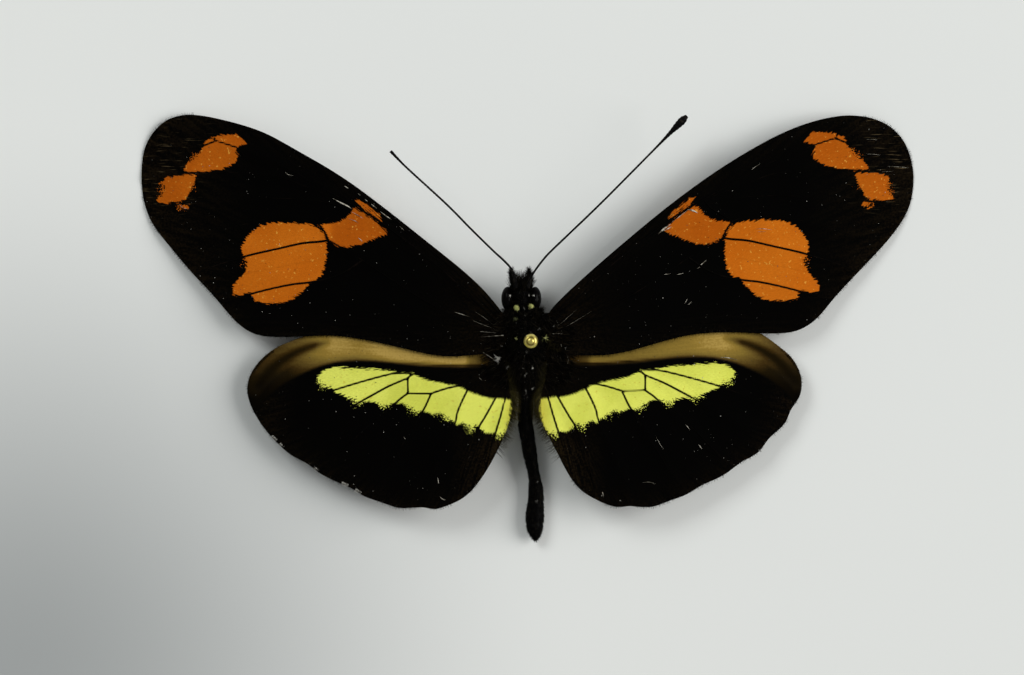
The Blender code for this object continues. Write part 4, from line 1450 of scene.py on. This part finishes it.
STROKES = {  # (route in the wing's plan, radius)
    "forewing_right": [
        ([(17.0, 7.4), (17.4, 7.75), (17.75, 8.05)], 0.045), ([(16.85, 7.2), (17.15, 7.4)], 0.03),
        ([(13.4, 6.6), (13.8, 6.65), (14.2, 6.7)], 0.022), ([(14.8, 6.6), (15.5, 6.75)], 0.028),
        ([(12.95, 10.65), (13.5, 11.15), (14.2, 11.65)], 0.09), ([(13.5, 10.95), (14.3, 11.4)], 0.05),
        ([(14.2, 11.75), (15.2, 12.5), (15.9, 13.05)], 0.025),
        ([(15.8, 13.1), (16.4, 13.0), (16.9, 12.75)], 0.09), ([(15.6, 3.7), (15.85, 4.2)], 0.022),
        ([(15.9, 3.6), (16.3, 3.9)], 0.022), ([(22.6, 11.15), (23.4, 11.2), (24.3, 11.1)], 0.025),
        ([(22.8, 10.9), (23.8, 10.9)], 0.018), ([(33.9, 18.7), (34.6, 18.7), (35.3, 18.6)], 0.016),
        ([(33.8, 20.2), (35.0, 20.15)], 0.016), ([(36.0, 17.5), (37.2, 17.45), (38.2, 17.35)], 0.018),
        ([(34.5, 16.9), (36.6, 17.0)], 0.014), ([(2.9, 1.5), (3.1, 1.7)], 0.03),
        ([(2.9, 1.4), (3.9, 2.3), (4.9, 3.2)], 0.007), ([(3.3, 1.15), (4.9, 2.1), (6.4, 3.0)], 0.006),
        ([(22.2, 17.0), (22.7, 17.4), (23.2, 17.7)], 0.02),
    ],
    "forewing_left": [
        ([(19.5, 14.25), (18.7, 13.8), (17.9, 13.4), (17.6, 13.15)], 0.075),
        ([(18.3, 15.45), (17.9, 15.2)], 0.035), ([(16.95, 14.7), (16.7, 14.5)], 0.03),
        ([(16.3, 14.15), (15.9, 13.85)], 0.035), ([(15.7, 13.7), (15.0, 13.15)], 0.045),
        ([(14.7, 12.9), (14.2, 12.5), (13.6, 12.1)], 0.05), ([(12.9, 11.5), (12.2, 10.9)], 0.02),
        ([(17.9, 12.2), (17.2, 11.95), (16.9, 11.7)], 0.03), ([(17.6, 12.9), (16.4, 12.2)], 0.03),
        ([(16.9, 10.3), (16.5, 9.9)], 0.03), ([(7.4, 2.9), (6.7, 2.7), (5.8, 2.4)], 0.02),
        ([(5.4, 3.0), (4.2, 2.2), (3.2, 1.4)], 0.007), ([(5.7, 2.1), (4.4, 1.6), (3.2, 1.15)], 0.007),
        ([(24.3, 16.9), (23.9, 16.6), (23.4, 16.5)], 0.02),
        ([(35.0, 13.7), (34.4, 13.3), (33.8, 13.2)], 0.018),
    ],
    "hindwing_right": [
        ([(17.0, -10.3), (17.35, -10.8)], 0.03), ([(12.7, -9.4), (13.1, -10.2), (13.5, -10.8)], 0.014),
        ([(15.7, -8.3), (16.15, -8.9)], 0.03), ([(11.4, -14.1), (12.1, -14.05), (12.7, -14.25)], 0.02),
        # the stroke from (19.2, -1.62) to (20.9, -1.9) is a painted highlight on the fold
        ([(7.4, -15.0), (7.5, -15.5)], 0.04), ([(19.2, -1.62), (20.0, -1.68), (20.9, -1.9)], 0.04),
        ([(3.9, -1.4), (4.0, -1.9), (3.9, -2.3)], 0.02),
    ],
    "hindwing_left": [
        ([(9.0, -13.6), (8.9, -14.2)], 0.035), ([(8.8, -15.5), (8.4, -15.8), (8.2, -15.75)], 0.045),
        ([(12.4, -9.5), (12.2, -9.8)], 0.03), ([(8.1, -9.3), (7.8, -9.6)], 0.022),
        ([(4.9, -3.6), (4.5, -4.0)], 0.02),
    ],
}
STROKE_LIFT = 0.1
for wing in WINGS:
    strands = []
    for route, radius in STROKES[wing.name]:
        line = smooth_route([Vector(p) for p in route], 4)
        middle = (len(line) - 1) / 2
        strand = []
        for i, p in enumerate(line):
            thinned = radius * (1.05 - abs(i - middle) / max(middle, 1))
            strand.append((wing.place(p.x, p.y, STROKE_LIFT), thinned))
        strands.append(strand)
    strokes = threads(f"{wing.name}_strokes", strands, rubbed_and_highlight_finish)
    print(strokes.name, "strands:", len(strands))

# %% Specks and tufts
SPECKS_PER_WING = {"forewing": 190, "hindwing": 140}
SPECK_LIFT = 0.03
for i, wing in enumerate(WINGS):
    rng = np.random.default_rng(80 + i)
    spots, normals = scatter(membranes[wing.name], SPECKS_PER_WING[wing.kind] * 2, rng)
    kept = normals[:, 2] > 0
    spots = spots[kept] + normals[kept] * SPECK_LIFT
    aims = rng.normal(0, 1, spots.shape)
    aims[:, 2] *= 0.15
    width = rng.uniform(0.015, 0.045, len(spots))
    sizes = hair_sizes(width, rng.uniform(0.05, 0.13, len(spots)))
    tints = rng.random(len(spots)) ** 4
    plant(f"{wing.name}_specks", spots, aims, sizes, tints, dust_and_highlight_finish, flakes=True)

trees = []
graph = bpy.context.evaluated_depsgraph_get()
for solid in (thorax, abdomen, head, *eyes, *shoulders, *membranes.values()):
    trees.append(BVHTree.FromObject(solid, graph))


def top_at(x, y):
    """The height of the highest surface above a place, in millimetres."""
    hits = [tree.ray_cast(Vector((x, y, 30)) * MM, Vector((0, 0, -1)))[0] for tree in trees]
    return max((hit.z / MM for hit in hits if hit), default=0.0)


# where, its spread, how many hairs, the longest, their radius, finish, brightness, and how far they
# start above the skin
TUFTS = [
    (-1.42, 3.31, 0.18, 210, 0.24, 0.024, pale_hair, 1.0, 0.4),
    (0.04, 3.46, 0.18, 200, 0.24, 0.024, pale_hair, 1.05, 0.6),
    # the next three are painted highlights: pale specks where the eyes and the head catch the light
    (-2.03, 4.54, 0.06, 14, 0.2, 0.024, dust_and_highlight_finish, 1.2, 0.9),
    (-0.15, 4.56, 0.05, 7, 0.2, 0.02, dust_and_highlight_finish, 0.8, 0.9),
    (0.3, 4.53, 0.06, 14, 0.2, 0.024, dust_and_highlight_finish, 1.2, 0.9),
    (-0.65, 3.23, 0.07, 7, 0.2, 0.016, dust_and_highlight_finish, 0.5, 0.5),
    (-0.58, 2.6, 0.06, 5, 0.2, 0.016, dust_and_highlight_finish, 0.3, 0.5),
    (-1.48, 2.2, 0.16, 50, 0.3, 0.02, pale_hair, 0.1, 0.5),
    (0.82, 1.2, 0.1, 10, 0.25, 0.02, dust_and_highlight_finish, 0.3, 0.6),
    (2.28, 1.47, 0.1, 5, 0.35, 0.02, dust_and_highlight_finish, 0.6, 0.4),
    (1.33, 0.3, 0.22, 110, 0.4, 0.024, pale_hair, 0.75, 0.6),
    (1.8, -0.25, 0.5, 110, 0.5, 0.02, olive_hair, 0.12, 0.4),
    (2.5, -0.8, 0.5, 90, 0.5, 0.02, olive_hair, 0.1, 0.3),
    (-1.43, 0.22, 0.08, 16, 0.25, 0.02, pale_hair, 0.6, 0.5),
    (-2.85, -0.5, 0.1, 7, 0.25, 0.016, dust_and_highlight_finish, 0.3, 0.3),
    (3.48, -0.67, 0.06, 5, 0.2, 0.02, dust_and_highlight_finish, 0.7, 0.2),
    (-0.45, -1.07, 0.1, 7, 0.25, 0.018, dust_and_highlight_finish, 0.25, 0.5),
    (-3.3, -1.75, 0.2, 26, 0.5, 0.032, dust_and_highlight_finish, 1.3, 0.3),
    (-2.3, -2.6, 0.15, 16, 0.3, 0.02, dust_and_highlight_finish, 0.25, 0.4),
    (0.2, -2.65, 0.06, 12, 0.3, 0.022, dust_and_highlight_finish, 1.0, 0.8),
    (1.2, -2.5, 0.14, 14, 0.5, 0.018, dust_and_highlight_finish, 0.6, 0.6),
    (-0.54, -3.33, 0.08, 7, 0.3, 0.018, dust_and_highlight_finish, 0.6, 0.8),
    (-0.75, -2.7, 0.08, 5, 0.25, 0.016, dust_and_highlight_finish, 0.3, 0.8),
    (0.2, -4.7, 0.1, 24, 0.25, 0.024, dust_and_highlight_finish, 1.1, 0.8),
    (-0.45, -4.9, 0.08, 7, 0.25, 0.018, dust_and_highlight_finish, 0.5, 0.6),
    (0.75, -14.0, 0.1, 7, 0.2, 0.016, dust_and_highlight_finish, 0.5, 0.05),
    (0.6, -16.0, 0.12, 6, 0.3, 0.014, dust_and_highlight_finish, 0.5, 0.1),
]
for i, (x, y, spread, count, longest, radius, finish, brightness, above) in enumerate(TUFTS):
    rng = np.random.default_rng(100 + i)
    around = rng.normal(0, spread / 2, (count, 2))
    spots = [(x + dx, y + dy, top_at(x + dx, y + dy) + above * rng.uniform(0.4, 1.0)) for dx, dy in around]
    aims = rng.normal(0, 0.7, (count, 3)) + (0, -0.3, 0.5)
    sizes = hair_sizes(radius, rng.uniform(0.4, 1.0, count) * longest)
    tints = np.clip(brightness * (1 + rng.normal(0, 0.25, count)), 0, 1.6)
    plant(f"tuft_{i + 1}", spots, aims, sizes, tints, finish)

BODY_SPECKS = 130
rng = np.random.default_rng(140)
spots = []
for _ in range(BODY_SPECKS):
    y = rng.uniform(-6, 4.8)
    x = rng.normal(-0.35, 0.45 if y < -4 else 1.0)
    spots.append((x, y, top_at(x, y) + rng.uniform(0.1, 0.7)))
aims = rng.normal(0, 1, (BODY_SPECKS, 3))
width = rng.uniform(0.012, 0.035, BODY_SPECKS)
sizes = hair_sizes(width, rng.uniform(0.04, 0.12, BODY_SPECKS))
tints = rng.random(BODY_SPECKS) ** 4 * 0.7
plant("body_specks", spots, aims, sizes, tints, dust_and_highlight_finish, flakes=True)

# %% Bristles at the wing roots
BRISTLES = [  # (start, end) in the insect's plan, and radius
    ((-4.7, -1.15), (-3.45, -1.95), 0.028),
    ((-2.7, 0.57), (-4.9, 0.4), 0.024),
    ((-5.0, 0.95), (-3.4, 0.8), 0.012),
    ((2.15, 0.72), (3.15, 0.76), 0.014),
    ((3.0, -0.3), (3.1, -0.6), 0.02),
    ((1.2, -2.35), (1.15, -2.85), 0.02),
]
BRISTLE_STEPS = 6
strands = []
for (x0, y0), (x1, y1), radius in BRISTLES:
    points = []
    for i in range(BRISTLE_STEPS + 1):
        share = i / BRISTLE_STEPS
        x, y = x0 + (x1 - x0) * share, y0 + (y1 - y0) * share
        points.append(Vector((x, y, top_at(x, y) + 0.12 + 0.5 * share * (1 - share))) * MM)
    strands.append(tapered(points, radius, radius * 0.3))
threads("bristles", strands, rubbed_and_highlight_finish)
print("bristles:", len(strands))
